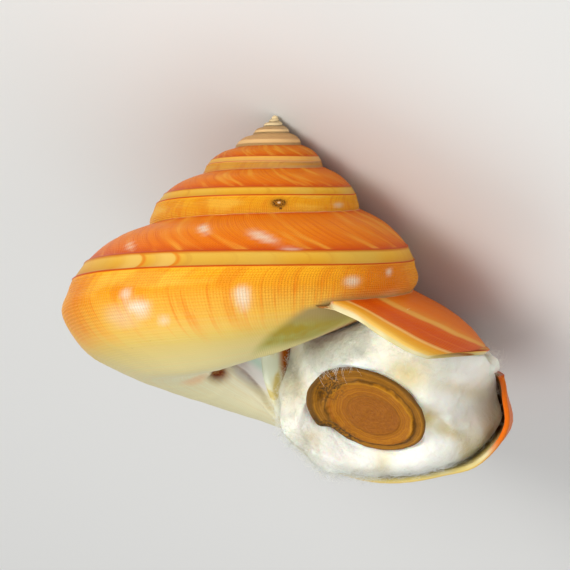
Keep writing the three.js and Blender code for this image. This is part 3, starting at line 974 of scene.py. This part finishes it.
    @staticmethod
    def caps(rings: np.ndarray, values: dict, faces: list) -> tuple[np.ndarray, dict, list]:
        """Closes both ends of the skin with a fan round a middle point, and drops unused points."""
        rows, columns = rings.shape[:2]
        points = rings.reshape(-1, 3)
        for row in (0, rows - 1):
            middle = len(points)
            points = np.vstack([points, rings[row].mean(axis=0)])
            for name in values:
                values[name] = np.append(values[name], values[name][row * columns])
            for column in range(columns):
                faces.append((row * columns + column, row * columns + (column + 1) % columns, middle))
        used = np.zeros(len(points), bool)
        for face in faces:
            used[list(face)] = True
        number = np.cumsum(used) - 1
        kept = {name: value[used] for name, value in values.items()}
        return points[used], kept, [tuple(int(number[corner]) for corner in face) for face in faces]

    def turned_profile(self, profile: tuple, around: int, turn: float, zone: float) -> Skin:
        """A closed island turned round the axis, such as the tip or the end of the funnel."""
        radius, depth = np.array(profile, float).T
        angle = np.linspace(0, 2 * np.pi, around, endpoint=False)
        ring = np.stack([radius[:, None] * np.cos(angle), radius[:, None] * np.sin(angle),
                         np.repeat(-depth[:, None], around, axis=1)], axis=-1)
        points = np.vstack([ring[1:-1].reshape(-1, 3), [[0, 0, -depth[0]], [0, 0, -depth[-1]]]])
        values = self.values(np.full(len(points), turn), np.full(len(points), zone), 0.0)
        return Skin(self.lying.place(points), tube_faces(len(profile) - 2, around), values)

    def make(self) -> bpy.types.Object:
        """Builds the piece and ties it to the frame."""
        made = self.mesh_from(Skin.joined([
            self.skin(), self.turned_profile(self.size.funnel_end, 40, -1.0, 13.0),
            self.turned_profile(self.size.tip, 24, -7.0, 4.0),
        ]))
        self.tie(made, Node.SHELL)
        return made


@dataclass(frozen=True)
class WadSize:
    """Where the wool begins and ends, how it swells out of the mouth, and the photo's lumps.

    A lump is its place across and up from the lid, its half sizes, its lean in degrees, its height and how
    yellow it is, that yellow being painted shade in the hollows. The fibres' lengths, their lift, the clouds
    and the least height are metres, and other lengths are millimetres.
    """

    lid_place: tuple = (23.5, -15.6, -61.4)
    lid_facing: tuple = (-0.21, -0.736, -0.643)
    mouth_facing: tuple = (-0.1, -0.74, -0.66)
    seed: int = 7
    start: float = -0.2
    back_places: tuple = (9.2, 6.0)
    back_gap: float = 0.75
    rim: tuple = (
        (0, 0.12), (1.0, 0.1), (1.5, 0.07), (2.0, 0.024), (2.6, 0.004), (3.2, 0.0), (4.5, 0.003), (6, 0.005),
        (7.2, 0.006), (8, 0.006), (8.8, 0.018), (9.5, 0.042), (10, 0.057), (11, 0.122), (12, 0.166),
        (12.5, 0.17), (13, 0.13), (14, 0.12),
    )
    gaps: tuple = ((0, 0.35), (2, 0.35), (2.9, 0.4), (3.6, 0.75), (5, 0.8), (6.3, 0.4), (14, 0.35))
    spill: tuple = ((8.8, 0.0), (9.6, 0.9), (10.6, 0.8), (11.6, 1.7), (12.4, 1.2), (13.0, 0.0))
    spill_lift: float = 1.3
    puffs: tuple = ((0, 2.6), (2, 3.2), (3, 4.2), (5.5, 4.2), (7, 2.7), (9, 2.4), (11, 2.8), (14, 2.4))
    back_puff: float = 1.1
    lid_room: tuple = (0.3, 0.4, 13.0, 10.2)
    seat_radius: float = 10.3
    lid_turn: float = -0.42
    seat_height: float = -0.6
    wall_columns: int = 150
    back_columns: int = 60
    body_rings: int = 24
    front_rings: int = 70
    lumps: tuple = (
        (-6.5, 11.9, 9.0, 3.8, 0, 1.5, 0.0), (1.3, 13.3, 6.0, 4.0, 0, 0.9, 0.0),
        (8.4, 7.3, 5.5, 4.0, 0, -1.2, 0.8), (23.7, 9.7, 8.0, 4.0, 0, 1.1, 0.0),
        (18.5, 4.4, 8.0, 1.5, -14, -1.1, 0.45), (19.0, -0.5, 7.5, 5.0, 0, 1.8, 0.0),
        (15.5, 10.0, 7.0, 3.4, 0, 0.9, 0.0), (12.3, -1.9, 3.0, 2.4, 0, -1.1, 1.0),
        (17.2, -4.6, 5.5, 1.4, -25, -1.3, 0.7), (20.8, -8.0, 1.5, 3.5, 0, -1.1, 0.6),
        (12.0, -11.0, 8.0, 3.8, 0, 1.5, 0.0), (3.4, -11.0, 2.0, 3.5, 0, -0.8, 0.5),
        (-5.8, -8.9, 7.0, 4.2, -30, 1.5, 0.0), (-15.7, -2.9, 4.0, 4.2, 0, 1.1, 0.0),
        (-16.0, 5.6, 3.6, 5.5, 0, -0.7, 0.4), (-11.4, -6.0, 2.0, 2.6, 0, -0.7, 0.35),
        (26.5, -2.0, 2.0, 6.0, 0, -0.8, 0.35),
    )
    tuft_turns: tuple = (-0.078, 0.012, 26)
    tuft_half: float = 0.46
    tuft_top: float = 1.1
    tuft_fibres: int = 420
    tuft_root: float = -4.5
    wall_places: tuple = (0.6, 13.4)
    seat_rings: tuple = (0.75, 0.5, 0.25)
    fibres: int = 4200
    edge_fibres: int = 900
    edge_rings: int = 22
    edge_from: float = 7.2
    bare_rings: int = 36
    fibre_radius: float = 0.02
    lengths: tuple = (0.0015, 0.0045)
    edge_lengths: tuple = (0.0012, 0.003)
    root_lift: float = 0.00006
    fibre_steps: int = 5
    fibre_sides: int = 3
    clear: float = 0.0002
    clouds: tuple = (("lumps", 0.007, 0.0013), ("tufts", 0.0024, 0.00045))


class Wad(Piece):
    """The wad of cotton wool: what is left of the cavity, with a lumpy front that swells out of the mouth."""

    def __init__(self, shell: Shell, size: WadSize, material: bpy.types.Material) -> None:
        """Keeps the shell that it fills and its own sizes."""
        super().__init__("cotton_looks", material)
        self.shell = shell
        self.size = size
        self.lid_place = np.array(size.lid_place)
        self.lid_facing = np.array(size.lid_facing) / np.linalg.norm(size.lid_facing)
        self.mouth_facing = np.array(size.mouth_facing) / np.linalg.norm(size.mouth_facing)
        self.chance = np.random.default_rng(size.seed)

    def ring(self, share: float) -> np.ndarray:
        """A ring of the wool's body, from its inner end (share 0) to the rim (share 1)."""
        form, size = self.shell.form, self.size
        place = np.linspace(*size.wall_places, size.wall_columns)
        turn = size.start + (table(size.rim, place) - size.start) * share
        at_lip = np.minimum(turn, form.lip_turn(place))
        depth = self.shell.wall(at_lip, place) + table(size.gaps, place)
        wall = form.in_space(turn, form.offset(turn, place, -depth))
        back_place = np.linspace(*size.back_places, size.back_columns)
        back_turn = np.linspace(turn[-1], turn[0], size.back_columns + 2)[1:-1]
        gap = np.full(back_turn.shape, size.back_gap)
        back = form.in_space(back_turn, form.offset(back_turn - 1, back_place, gap))
        return np.vstack([wall, back])

    def lumpy(self, points: np.ndarray) -> tuple[np.ndarray, np.ndarray]:
        """Height of the lumps and hollows at points, and how yellow the hollows are, the yellow being painted
        shade.
        """
        across, up = np.moveaxis((points - self.lid_place) @ self.shell.lying.seen.T, -1, 0)
        height, yellow = np.zeros(across.shape), np.zeros(across.shape)
        for at_x, at_y, long, broad, lean, rise, tint in self.size.lumps:
            sine, cosine = math.sin(math.radians(lean)), math.cos(math.radians(lean))
            first = ((across - at_x) * cosine + (up - at_y) * sine) / long
            second = (-(across - at_x) * sine + (up - at_y) * cosine) / broad
            near = np.exp(-(first ** 2 + second ** 2))
            height += rise * near
            # The tint is a yellow painted shade, laid on the hollows.
            yellow = np.maximum(yellow, tint * near)
        return height, yellow

    def front(self, rim: np.ndarray) -> np.ndarray:
        """Rings from the rim over the front to the lid's seat and under the lid."""
        size = self.size
        flat = rim - self.lid_place
        flat -= (flat @ self.lid_facing)[:, None] * self.lid_facing
        flat /= np.linalg.norm(flat, axis=1, keepdims=True)
        on_wall = np.linspace(*size.wall_places, size.wall_columns)
        place = np.concatenate([on_wall, np.full(size.back_columns, float(self.shell.form.last))])
        puff = table(size.puffs, place)
        share = np.linspace(0, 1, size.back_columns + 2)[1:-1]
        puff[size.wall_columns:] = puff[size.wall_columns - 1] * (1 - share) + puff[0] * share
        puff[size.wall_columns:] += size.back_puff * np.sin(share * np.pi)
        puff = puff[:, None]
        spill = table(size.spill, place)
        seat = self.lid_place + flat * size.seat_radius + self.lid_facing * size.seat_height
        rings = []
        for share in np.linspace(0.015, 1, size.front_rings):
            ring = rim * (1 - share) + seat * share
            ring += self.mouth_facing * puff * math.sin(share * math.pi) ** 0.75
            over = math.sin(math.pi * min(share / 0.4, 1))
            ring += over * spill[:, None] * (flat + self.mouth_facing * size.spill_lift / 2.2)
            height = self.lumpy(ring)[0] * math.sin(share * math.pi) ** 0.6
            rings.append(self.settled(ring + self.mouth_facing * height[:, None]))
        sunk = self.lid_facing * (size.seat_height - 0.2)
        for share in size.seat_rings:
            rings.append(self.lid_place + flat * size.seat_radius * share + sunk)
        return np.array(rings)

    def lid_ways(self) -> tuple[np.ndarray, np.ndarray]:
        """The lid's long and short way in the shell's own frame."""
        right = self.shell.lying.seen[0]
        level = right - (right @ self.lid_facing) * self.lid_facing
        level /= np.linalg.norm(level)
        steep = np.cross(self.lid_facing, level)
        cosine, sine = math.cos(self.size.lid_turn), math.sin(self.size.lid_turn)
        return level * cosine + steep * sine, steep * cosine - level * sine

    def settled(self, ring: np.ndarray) -> np.ndarray:
        """Presses points down where the lid lies on them, with a slope round its edge."""
        at_x, at_y, long, broad = self.size.lid_room
        away = ring - self.lid_place
        long_way, short_way = self.lid_ways()
        share = np.hypot((away @ long_way - at_x) / long, (away @ short_way - at_y) / broad)
        height = away @ self.lid_facing
        most = self.size.seat_height + 14 * np.maximum(share - 1, 0)
        return ring + (np.minimum(height, most) - height)[:, None] * self.lid_facing

    @staticmethod
    def closed(rings: np.ndarray) -> tuple[np.ndarray, list]:
        """Points and faces of a tube of rings, closed by a fan at each end."""
        points = np.vstack([rings.reshape(-1, 3), [rings[0].mean(axis=0), rings[-1].mean(axis=0)]])
        return points, tube_faces(*rings.shape[:2])

    def body(self) -> Skin:
        """The wad's closed skin before its fine lumps."""
        size = self.size
        rings = [self.ring(share) for share in np.linspace(0, 1, size.body_rings)]
        rings = np.concatenate([np.array(rings), self.front(rings[-1])])
        swell = np.zeros(rings.shape[:2])
        swell[size.body_rings + 1:-5] = 1
        _, yellow = self.lumpy(rings)
        yellow[: size.body_rings - 2] = 0
        points, faces = self.closed(rings)
        # The hollow attribute carries the yellow painted shade of the wool's hollows.
        values = {"swell": np.append(swell.ravel(), [0, 0]), "hollow": np.append(yellow.ravel(), [0, 0])}
        return Skin(self.shell.lying.place(points), faces, values)

    def tuft(self) -> Skin:
        """The wool that pokes out through the slit."""
        size, form, around = self.size, self.shell.form, 24
        angle = np.linspace(0, 2 * np.pi, around, endpoint=False)
        rings = []
        for share, turn in zip(np.linspace(0, 1, size.tuft_turns[2]), np.linspace(*size.tuft_turns)):
            round_off = math.sin(math.pi * min(max(share, 0.04), 0.96)) ** 0.4
            top = size.tuft_top * round_off + 0.25 * math.sin(share * 17)
            middle, half = (top + size.tuft_root) / 2, (top - size.tuft_root) / 2
            narrow = size.tuft_half * (0.94 - 0.06 * np.cos(3 * angle + share * 9))
            turns = np.full(around, turn)
            place = form.place_of(turns, 2.5 + narrow * np.cos(angle) * round_off)
            height = middle + half * round_off * np.sign(np.sin(angle)) * np.abs(np.sin(angle)) ** 0.8
            rings.append(form.in_space(turns, form.offset(turns, place, height)))
        points, faces = self.closed(np.array(rings))
        zero = np.zeros(len(points))
        return Skin(self.shell.lying.place(points), faces, {"swell": zero + 0.8, "hollow": zero})

    def strand(self, start: np.ndarray, way: np.ndarray, lift: np.ndarray, length: float) -> np.ndarray:
        """Rings of three points along one bowed fibre."""
        steps = np.linspace(0, 1, self.size.fibre_steps)[:, None]
        side = np.cross(way, lift)
        bow, sway = self.chance.uniform(0.05, 0.3), self.chance.uniform(-0.35, 0.35)
        path = start + way * length * steps + lift * length * bow * np.sin(steps * np.pi)
        path = path + side * length * sway * steps ** 2
        radius = self.size.fibre_radius * MM * np.array([0.5, 1, 1, 1, 0.4])[:, None, None]
        angle = np.arange(self.size.fibre_sides) * 2 * np.pi / self.size.fibre_sides
        ring = np.cos(angle)[:, None] * lift + np.sin(angle)[:, None] * side
        return path[:, None, :] + ring[None] * radius

    def fluff(self, made: bpy.types.Object) -> Skin:
        """Loose fibres on and round the front, from the finished lumps.

        Args:
            made: the wad with its lumps applied.

        Returns:
            The fibres as closed islands.
        """
        size = self.size
        count = len(made.data.vertices)
        place, normal, hollow = np.zeros(count * 3), np.zeros(count * 3), np.zeros(count)
        made.data.vertices.foreach_get("co", place)
        made.data.vertices.foreach_get("normal", normal)
        made.data.attributes["hollow"].data.foreach_get("value", hollow)
        place, normal = place.reshape(-1, 3), normal.reshape(-1, 3)
        columns = size.wall_columns + size.back_columns
        first = size.body_rings * columns
        last = first + (size.front_rings - size.bare_rings) * columns
        edge_columns = np.flatnonzero(np.linspace(*size.wall_places, size.wall_columns) > size.edge_from)
        rings, values = [], []
        first_of_tuft = (size.body_rings + size.front_rings + len(size.seat_rings)) * columns + 2
        for index in range(size.fibres + size.edge_fibres + size.tuft_fibres):
            at_edge = index >= size.fibres
            if index >= size.fibres + size.edge_fibres:
                chosen = self.chance.integers(first_of_tuft, count)
            elif at_edge:
                row = self.chance.integers(0, size.edge_rings)
                chosen = first + row * columns + self.chance.choice(edge_columns)
            else:
                chosen = self.chance.integers(first, last)
            lift = normal[chosen]
            way = np.cross(lift, self.chance.normal(size=3))
            way /= np.linalg.norm(way)
            if at_edge:
                way = way * 0.8 + lift * self.chance.uniform(0.1, 0.9)
                way /= np.linalg.norm(way)
            length = self.chance.uniform(*(size.edge_lengths if at_edge else size.lengths))
            rings.append(self.strand(place[chosen] + lift * size.root_lift, way, lift, length))
            values.append(hollow[chosen])
        points = np.array(rings).reshape(-1, 3)
        sides, each = size.fibre_sides, size.fibre_steps * size.fibre_sides
        faces = []
        for start in range(0, len(points), each):
            for low in range(start, start + each - sides, sides):
                for corner in range(sides):
                    after = (corner + 1) % sides
                    faces.append((low + corner, low + after, low + sides + after, low + sides + corner))
            faces.append((start, start + 1, start + 2))
            faces.append((start + each - 3, start + each - 2, start + each - 1))
        points[:, 2] = np.maximum(points[:, 2], size.clear)
        # Each fibre keeps the yellow painted shade of the hollow it grows from.
        tint = np.repeat(np.array(values) * 0.6, each)
        return Skin(points, faces, {"swell": tint * 0, "hollow": tint})

    def make(self) -> bpy.types.Object:
        """Builds the wad, gives it its lumps and fibres and ties it to the frame."""
        made = self.mesh_from(Skin.joined([self.body(), self.tuft()]))
        group = made.vertex_groups.new(name="front")
        values = np.zeros(len(made.data.vertices), np.float32)
        made.data.attributes["swell"].data.foreach_get("value", values)
        for share in np.unique(values[values > 0]):
            group.add([int(i) for i in np.flatnonzero(values == share)], float(share), "REPLACE")
        for label, scale, strength in self.size.clouds:
            texture = bpy.data.textures.new(label, "CLOUDS")
            texture.noise_scale = scale
            texture.noise_depth = 1
            lumps = made.modifiers.new(label, "DISPLACE")
            lumps.texture = texture
            lumps.texture_coords = "LOCAL"
            lumps.strength = strength
            lumps.mid_level = 0.5
            lumps.vertex_group = group.name
        self.apply_all(made)
        fibres = self.mesh_from(self.fluff(made))
        self.pick(made, fibres)
        bpy.ops.object.join()
        made.select_set(False)
        self.tie(made, Node.WAD)
        return made


@dataclass(frozen=True)
class WoolFinish:
    """White cotton wool with a faint yellow painted shade in its hollows."""

    white: tuple = (246, 246, 236)
    warm: tuple = (222, 208, 164)
    hollow: tuple = (206, 182, 96)
    fuzz_depth: float = 0.00045

    def build(self) -> bpy.types.Material:
        """The wool's material."""
        g = Graph("cotton")
        where = g.where()
        patch = g.noise(where, 120.0, 3.0, 0.6).step(0.46, 0.7)
        wool = g.blend(patch * 0.16, self.white, self.warm)
        # Painted shade: the hollows are tinted yellow.
        colour = wool.under((g.attribute("hollow") * 0.85, self.hollow))
        soft = {"Roughness": 0.95, "Subsurface Weight": 0.35, "Subsurface Scale": 0.0025,
                "Sheen Weight": 0.25, "Specular IOR Level": 0.1}
        fuzz = g.noise(where, 420.0, 2.0, 0.5) + g.noise(where, 1500.0, 4.0, 0.7) * 0.35
        return g.finish(colour, soft, fuzz, self.fuzz_depth)


@dataclass(frozen=True)
class LidSize:
    """Half sizes of the oval lid, its steps from the edge inward, and where its end is rolled and creased.

    A step is the next ring's share of the half sizes, then how far it lies up and moves over, in millimetres.
    """

    half_length: float = 12.7
    half_width: float = 9.9
    thick: float = 0.5
    around: int = 144
    steps: tuple = (
        (0.99, 0.2, 0, 0), (0.97, 0.12, 0, 0), (0.935, -0.02, 0, 0), (0.89, -0.1, 0.1, -0.1),
        (0.85, -0.08, 0.1, -0.1), (0.81, 0.0, 0.15, -0.1), (0.79, 0.3, 0.05, 0), (0.777, 0.35, 0, 0),
        (0.76, 0.15, 0, 0), (0.73, -0.1, 0, 0), (0.67, -0.2, 0, 0), (0.6, -0.1, 0.1, 0),
        (0.54, 0.02, 0.1, 0), (0.505, 0.12, 0.1, 0), (0.475, -0.02, 0, 0), (0.4, -0.1, 0, 0),
        (0.32, 0.0, 0, 0), (0.24, -0.08, 0, 0), (0.12, 0, 0, 0),
    )
    under: tuple = ((0.97, -0.12, 0, 0), (0.8, -0.25, 0, 0), (0.5, -0.1, 0, 0), (0.2, 0, 0, 0))
    crevice: tuple = ((-12.3, 3.1), (-11.5, 0.2), (-10.2, -1.9), (-8.6, -3.6), (-6.6, -5.4))
    roll: tuple = ((-12.6, -0.6), (-12.0, -2.6), (-10.9, -4.4), (-9.4, -6.0), (-7.8, -7.4))
    far_end: tuple = ((9.5, 4.0), (6.5, 6.6), (11.6, 0.5))
    middle: tuple = (0.3, 0.4)


class Lid(Piece):
    """The horny lid: an oval disc with rings, a raised middle and a rolled end."""

    def __init__(self, wad: Wad, size: LidSize) -> None:
        """Keeps the wad that it lies on and its own sizes."""
        self.wad = wad
        self.size = size
        super().__init__("lid_looks", HornFinish().build(self.frame()))

    def frame(self) -> Matrix:
        """Where the lid lies: its long way, its short way and its outer side, with its middle."""
        facing = self.wad.lid_facing
        long_way, short_way = self.wad.lid_ways()
        lying = self.wad.shell.lying
        turned = Matrix([tuple(lying.direction(way)) for way in (long_way, short_way, facing)]).transposed()
        along, over = self.size.middle
        middle = lying.place((self.wad.lid_place + long_way * along + short_way * over)[None])[0]
        return Matrix.Translation(Vector(middle)) @ turned.to_4x4()

    @staticmethod
    def pick_end(made: bpy.types.Object, up: float) -> None:
        """Selects the flat end of the disc that faces up (1) or down (-1)."""
        bpy.ops.mesh.select_mode(type="FACE")
        bpy.ops.mesh.select_all(action="DESELECT")
        bpy.ops.object.mode_set(mode="OBJECT")
        for face in made.data.polygons:
            face.select = face.normal.z * up > 0.9
        bpy.ops.object.mode_set(mode="EDIT")

    @staticmethod
    def draw_in(steps: tuple) -> None:
        """Extrudes the selected end ring by ring towards its middle, and closes it there."""
        before = 1.0
        for share, rise, across, up in steps:
            bpy.ops.mesh.extrude_region_move()
            bpy.ops.transform.resize(value=(share / before, share / before, 1))
            bpy.ops.transform.translate(value=(across * MM, up * MM, rise * MM))
            before = share
        bpy.ops.mesh.poke()

    @staticmethod
    def pull(made: bpy.types.Object, spots: tuple, near: float, reach: float, move: tuple) -> None:
        """Moves the upper points near spots, and softly those round them."""
        bpy.ops.mesh.select_mode(type="VERT")
        bpy.ops.mesh.select_all(action="DESELECT")
        bpy.ops.object.mode_set(mode="OBJECT")
        for vertex in made.data.vertices:
            away = min(math.hypot(vertex.co.x / MM - x, vertex.co.y / MM - y) for x, y in spots)
            vertex.select = away < near and vertex.co.z > 0.0003
        bpy.ops.object.mode_set(mode="EDIT")
        bpy.ops.transform.translate(value=tuple(part * MM for part in move), use_proportional_edit=True,
                                    proportional_edit_falloff="SMOOTH", proportional_size=reach * MM)

    def make(self) -> bpy.types.Object:
        """Models the lid flat, rolls its end, lays it on the wool and ties it to the frame."""
        size = self.size
        bpy.ops.object.select_all(action="DESELECT")
        bpy.ops.mesh.primitive_cylinder_add(vertices=size.around, radius=size.half_length * MM,
                                            depth=size.thick * MM, end_fill_type="NGON", location=(0, 0, 0))
        made = bpy.context.object
        made.name = self.name
        made.data.name = self.name
        bpy.ops.object.mode_set(mode="EDIT")
        bpy.ops.mesh.select_all(action="SELECT")
        bpy.ops.transform.resize(value=(1, size.half_width / size.half_length, 1))
        self.pick_end(made, 1)
        self.draw_in(size.steps)
        self.pick_end(made, -1)
        self.draw_in(size.under)
        self.pull(made, self.between(size.roll), 0.9, 3.2, (-0.7, -0.7, 1.7))
        self.pull(made, self.between(size.crevice), 0.35, 1.1, (0.1, 0.1, -0.9))
        self.pull(made, size.far_end, 0.8, 3.5, (0, 0, 0.35))
        bpy.ops.mesh.select_all(action="SELECT")
        bpy.ops.mesh.normals_make_consistent(inside=False)
        bpy.ops.object.mode_set(mode="OBJECT")
        finer = made.modifiers.new("finer", "SUBSURF")
        finer.levels = finer.render_levels = 1
        texture = bpy.data.textures.new("warp", "CLOUDS")
        texture.noise_scale = 0.0035
        warp = made.modifiers.new("warp", "DISPLACE")
        warp.texture = texture
        warp.texture_coords = "LOCAL"
        warp.strength = 0.00035
        self.apply_all(made)
        made.data.materials.clear()
        made.data.materials.append(self.material)
        made.data.transform(self.frame())
        self.close_up(made)
        self.tie(made, Node.LID)
        return made

    @staticmethod
    def between(spots: tuple) -> tuple:
        """The spots with others midway between them."""
        middles = [((ax + bx) / 2, (ay + by) / 2) for (ax, ay), (bx, by) in zip(spots, spots[1:])]
        return (*spots, *middles)


@dataclass(frozen=True)
class HornFinish:
    """Amber horn with rings, with painted shade in its creases, dirt and painted shade at its rolled end and
    lower edge, and a painted highlight on the upper ridge of its inner disc. The ovals are a middle and half
    sizes, in millimetres.
    """

    whole: tuple = ((0.0, 0.0), (12.7, 9.9))
    inner: tuple = ((0.8, -0.4), (9.5, 7.9))
    core: tuple = ((1.5, -0.5), (5.6, 4.8))
    # The oval where the rolled end is darkened, by dirt and by painted shade in its crevice.
    dirt_and_shade_oval: tuple = ((-9.4, 1.0), (4.2, 6.0))
    relief: float = 0.00014

    def build(self, place: Matrix) -> bpy.types.Material:
        """The lid's material.

        Args:
            place: where the lid lies in the row frame.

        Returns:
            Horn whose rings are laid out in the lid's own plane.
        """
        g = Graph("horn")
        mapped = g.node("ShaderNodeMapping", vector_type="TEXTURE")
        g.join(mapped.inputs["Vector"], g.where())
        mapped.inputs["Location"].default_value = place.to_translation()
        mapped.inputs["Rotation"].default_value = place.to_euler()
        mapped.inputs["Scale"].default_value = (MM, MM, MM)
        flat = Value(g, mapped.outputs[0])
        parts = g.node("ShaderNodeSeparateXYZ")
        g.join(parts.inputs[0], flat)
        across, up = Value(g, parts.outputs[0]), Value(g, parts.outputs[1])
        uneven, fine = g.noise(flat, 0.35, 3.0, 0.6), g.noise(flat, 1.6, 4.0, 0.7)
        wobble = (uneven - 0.5) * 0.16
        outer = across.away(up, *self.whole) + wobble * 0.3
        inner, core = across.away(up, *self.inner) + wobble, across.away(up, *self.core) + wobble
        rings = g.grain(outer * 34.0, uneven * 1.5, 0.0, 3.0, 0.6)
        inner_rings = g.grain(inner * 22.0, uneven * 1.5, 3.0, 3.0, 0.6)
        flange = g.blend(rings.step(0.4, 0.64), (134, 86, 10), (160, 106, 16))
        amber = g.blend(inner_rings.step(0.36, 0.64), (144, 82, 2), (172, 108, 6))
        reddish = g.blend(fine.step(0.4, 0.6), (132, 72, 4), (150, 86, 14))
        colour = g.mix(inner.fall(0.96, 1.03), flange, amber)
        # Painted shade round the foot of the raised inner disc and its core, and a painted highlight on the
        # disc's upper ridge.
        line = inner.bell(1.04, 0.04).most(core.bell(1.04, 0.07) * 0.3)
        highlit_crest = inner.bell(0.965, 0.05) * up.step(-3.0, 2.0)
        # Dark at the rolled end and along the lower edge: dirt and painted shade in the crevice and under the
        # edge.
        grime_and_shade = fine.step(0.46, 0.6) * across.away(up, *self.dirt_and_shade_oval).fall(0.3, 1.0)
        low = fine.step(0.42, 0.6) * up.step(-6.2, -8.4) * across.step(3.5, -1.0)
        colour = g.mix(core.fall(0.85, 1.15) * 0.7, colour, reddish).under(
            (line * 0.6, (72, 44, 6)), (highlit_crest * 0.6, (204, 142, 24)),
            (outer.step(0.94, 0.99) * 0.6, (66, 44, 12)), (grime_and_shade.most(low) * 0.85, (44, 34, 16)))
        height = rings + inner_rings * 0.8 + fine * 0.8
        return g.finish(colour, {"Roughness": 0.45, "Specular IOR Level": 0.2}, height, self.relief)


@dataclass(frozen=True)
class Studio:
    """Pale floor, soft lights and the camera at the photo's angle.

    The lights' directions are shares of the camera's right, up and back.
    """

    target: tuple = (4.55, -10.0, -36.5)
    distance: float = 2.0
    field_mm: float = 119.7
    sensor_mm: float = 36.0
    light_distance: float = 0.8
    lights: tuple = (
        ("key", (-0.7, 0.2, 0.75), 0.35, 4.6, (1.0, 0.98, 0.94)),
        ("fill", (0.8, -0.1, 0.9), 0.8, 2.9, (0.98, 0.98, 1.0)),
        ("low", (0.0, -0.8, 0.8), 0.7, 1.5, (1.0, 0.99, 0.98)),
    )

    def camera(self, lying: Lying, right: np.ndarray, up: np.ndarray) -> None:
        """Places the camera."""
        back = np.cross(right, up)
        target = lying.place(np.array([self.target]))[0]
        bpy.ops.object.camera_add()
        camera = bpy.context.object
        turn = Matrix((tuple(right), tuple(up), tuple(back))).transposed().to_4x4()
        camera.matrix_world = Matrix.Translation(Vector(target + back * self.distance)) @ turn
        camera.data.sensor_width = self.sensor_mm
        camera.data.lens = self.sensor_mm * self.distance / (self.field_mm * MM)
        camera.data.clip_end = 12
        bpy.context.scene.camera = camera

    def light(self, name: str, toward: np.ndarray, size: float, power: float, colour: tuple) -> None:
        """An area light that shines on the shell from a direction."""
        bpy.ops.object.light_add(type="AREA")
        lamp = bpy.context.object
        lamp.name = name
        aim = Vector(toward / np.linalg.norm(toward))
        lamp.location = Vector((0, 0, 0.02)) + aim * self.light_distance
        lamp.rotation_mode = "QUATERNION"
        lamp.rotation_quaternion = aim.to_track_quat("Z", "Y")
        lamp.data.size = size
        lamp.data.energy = power
        lamp.data.color = colour

    def build(self, lying: Lying) -> None:
        """Sets the floor, the lights, the sky and the camera."""
        right, up = (lying.direction(way) for way in lying.seen)
        back = np.cross(right, up)
        bpy.ops.mesh.primitive_plane_add(size=6, location=(0, 0, 0))
        floor = bpy.context.object
        floor.name = "floor"
        grey = Graph("floor").finish(linear(214, 214, 212), {"Roughness": 0.8})
        floor.data.materials.append(grey)
        for name, way, size, power, colour in self.lights:
            self.light(name, way[0] * right + way[1] * up + way[2] * back, size, power, colour)
        self.light("top", np.array([0.1, 0.4, 1.0]), 0.6, 1.8, (1.0, 1.0, 1.0))
        scene = bpy.context.scene
        scene.world = bpy.data.worlds.new("sky")
        scene.world.use_nodes = True
        sky = scene.world.node_tree.nodes["Background"]
        sky.inputs["Color"].default_value = (0.9, 0.92, 0.95, 1)
        sky.inputs["Strength"].default_value = 0.35
        scene.view_settings.view_transform = "Standard"
        self.camera(lying, right, up)


def main() -> None:
    """Builds every piece, the studio and the camera."""
    bpy.ops.object.select_all(action="DESELECT")
    lying = Lying()
    shell = Shell(SpiralForm(), lying, ShellSize(), ShellFinish().build())
    shell.make()
    wad = Wad(shell, WadSize(), WoolFinish().build())
    wad.make()
    Lid(wad, LidSize()).make()
    Studio().build(lying)


if __name__ == "__main__":
    main()
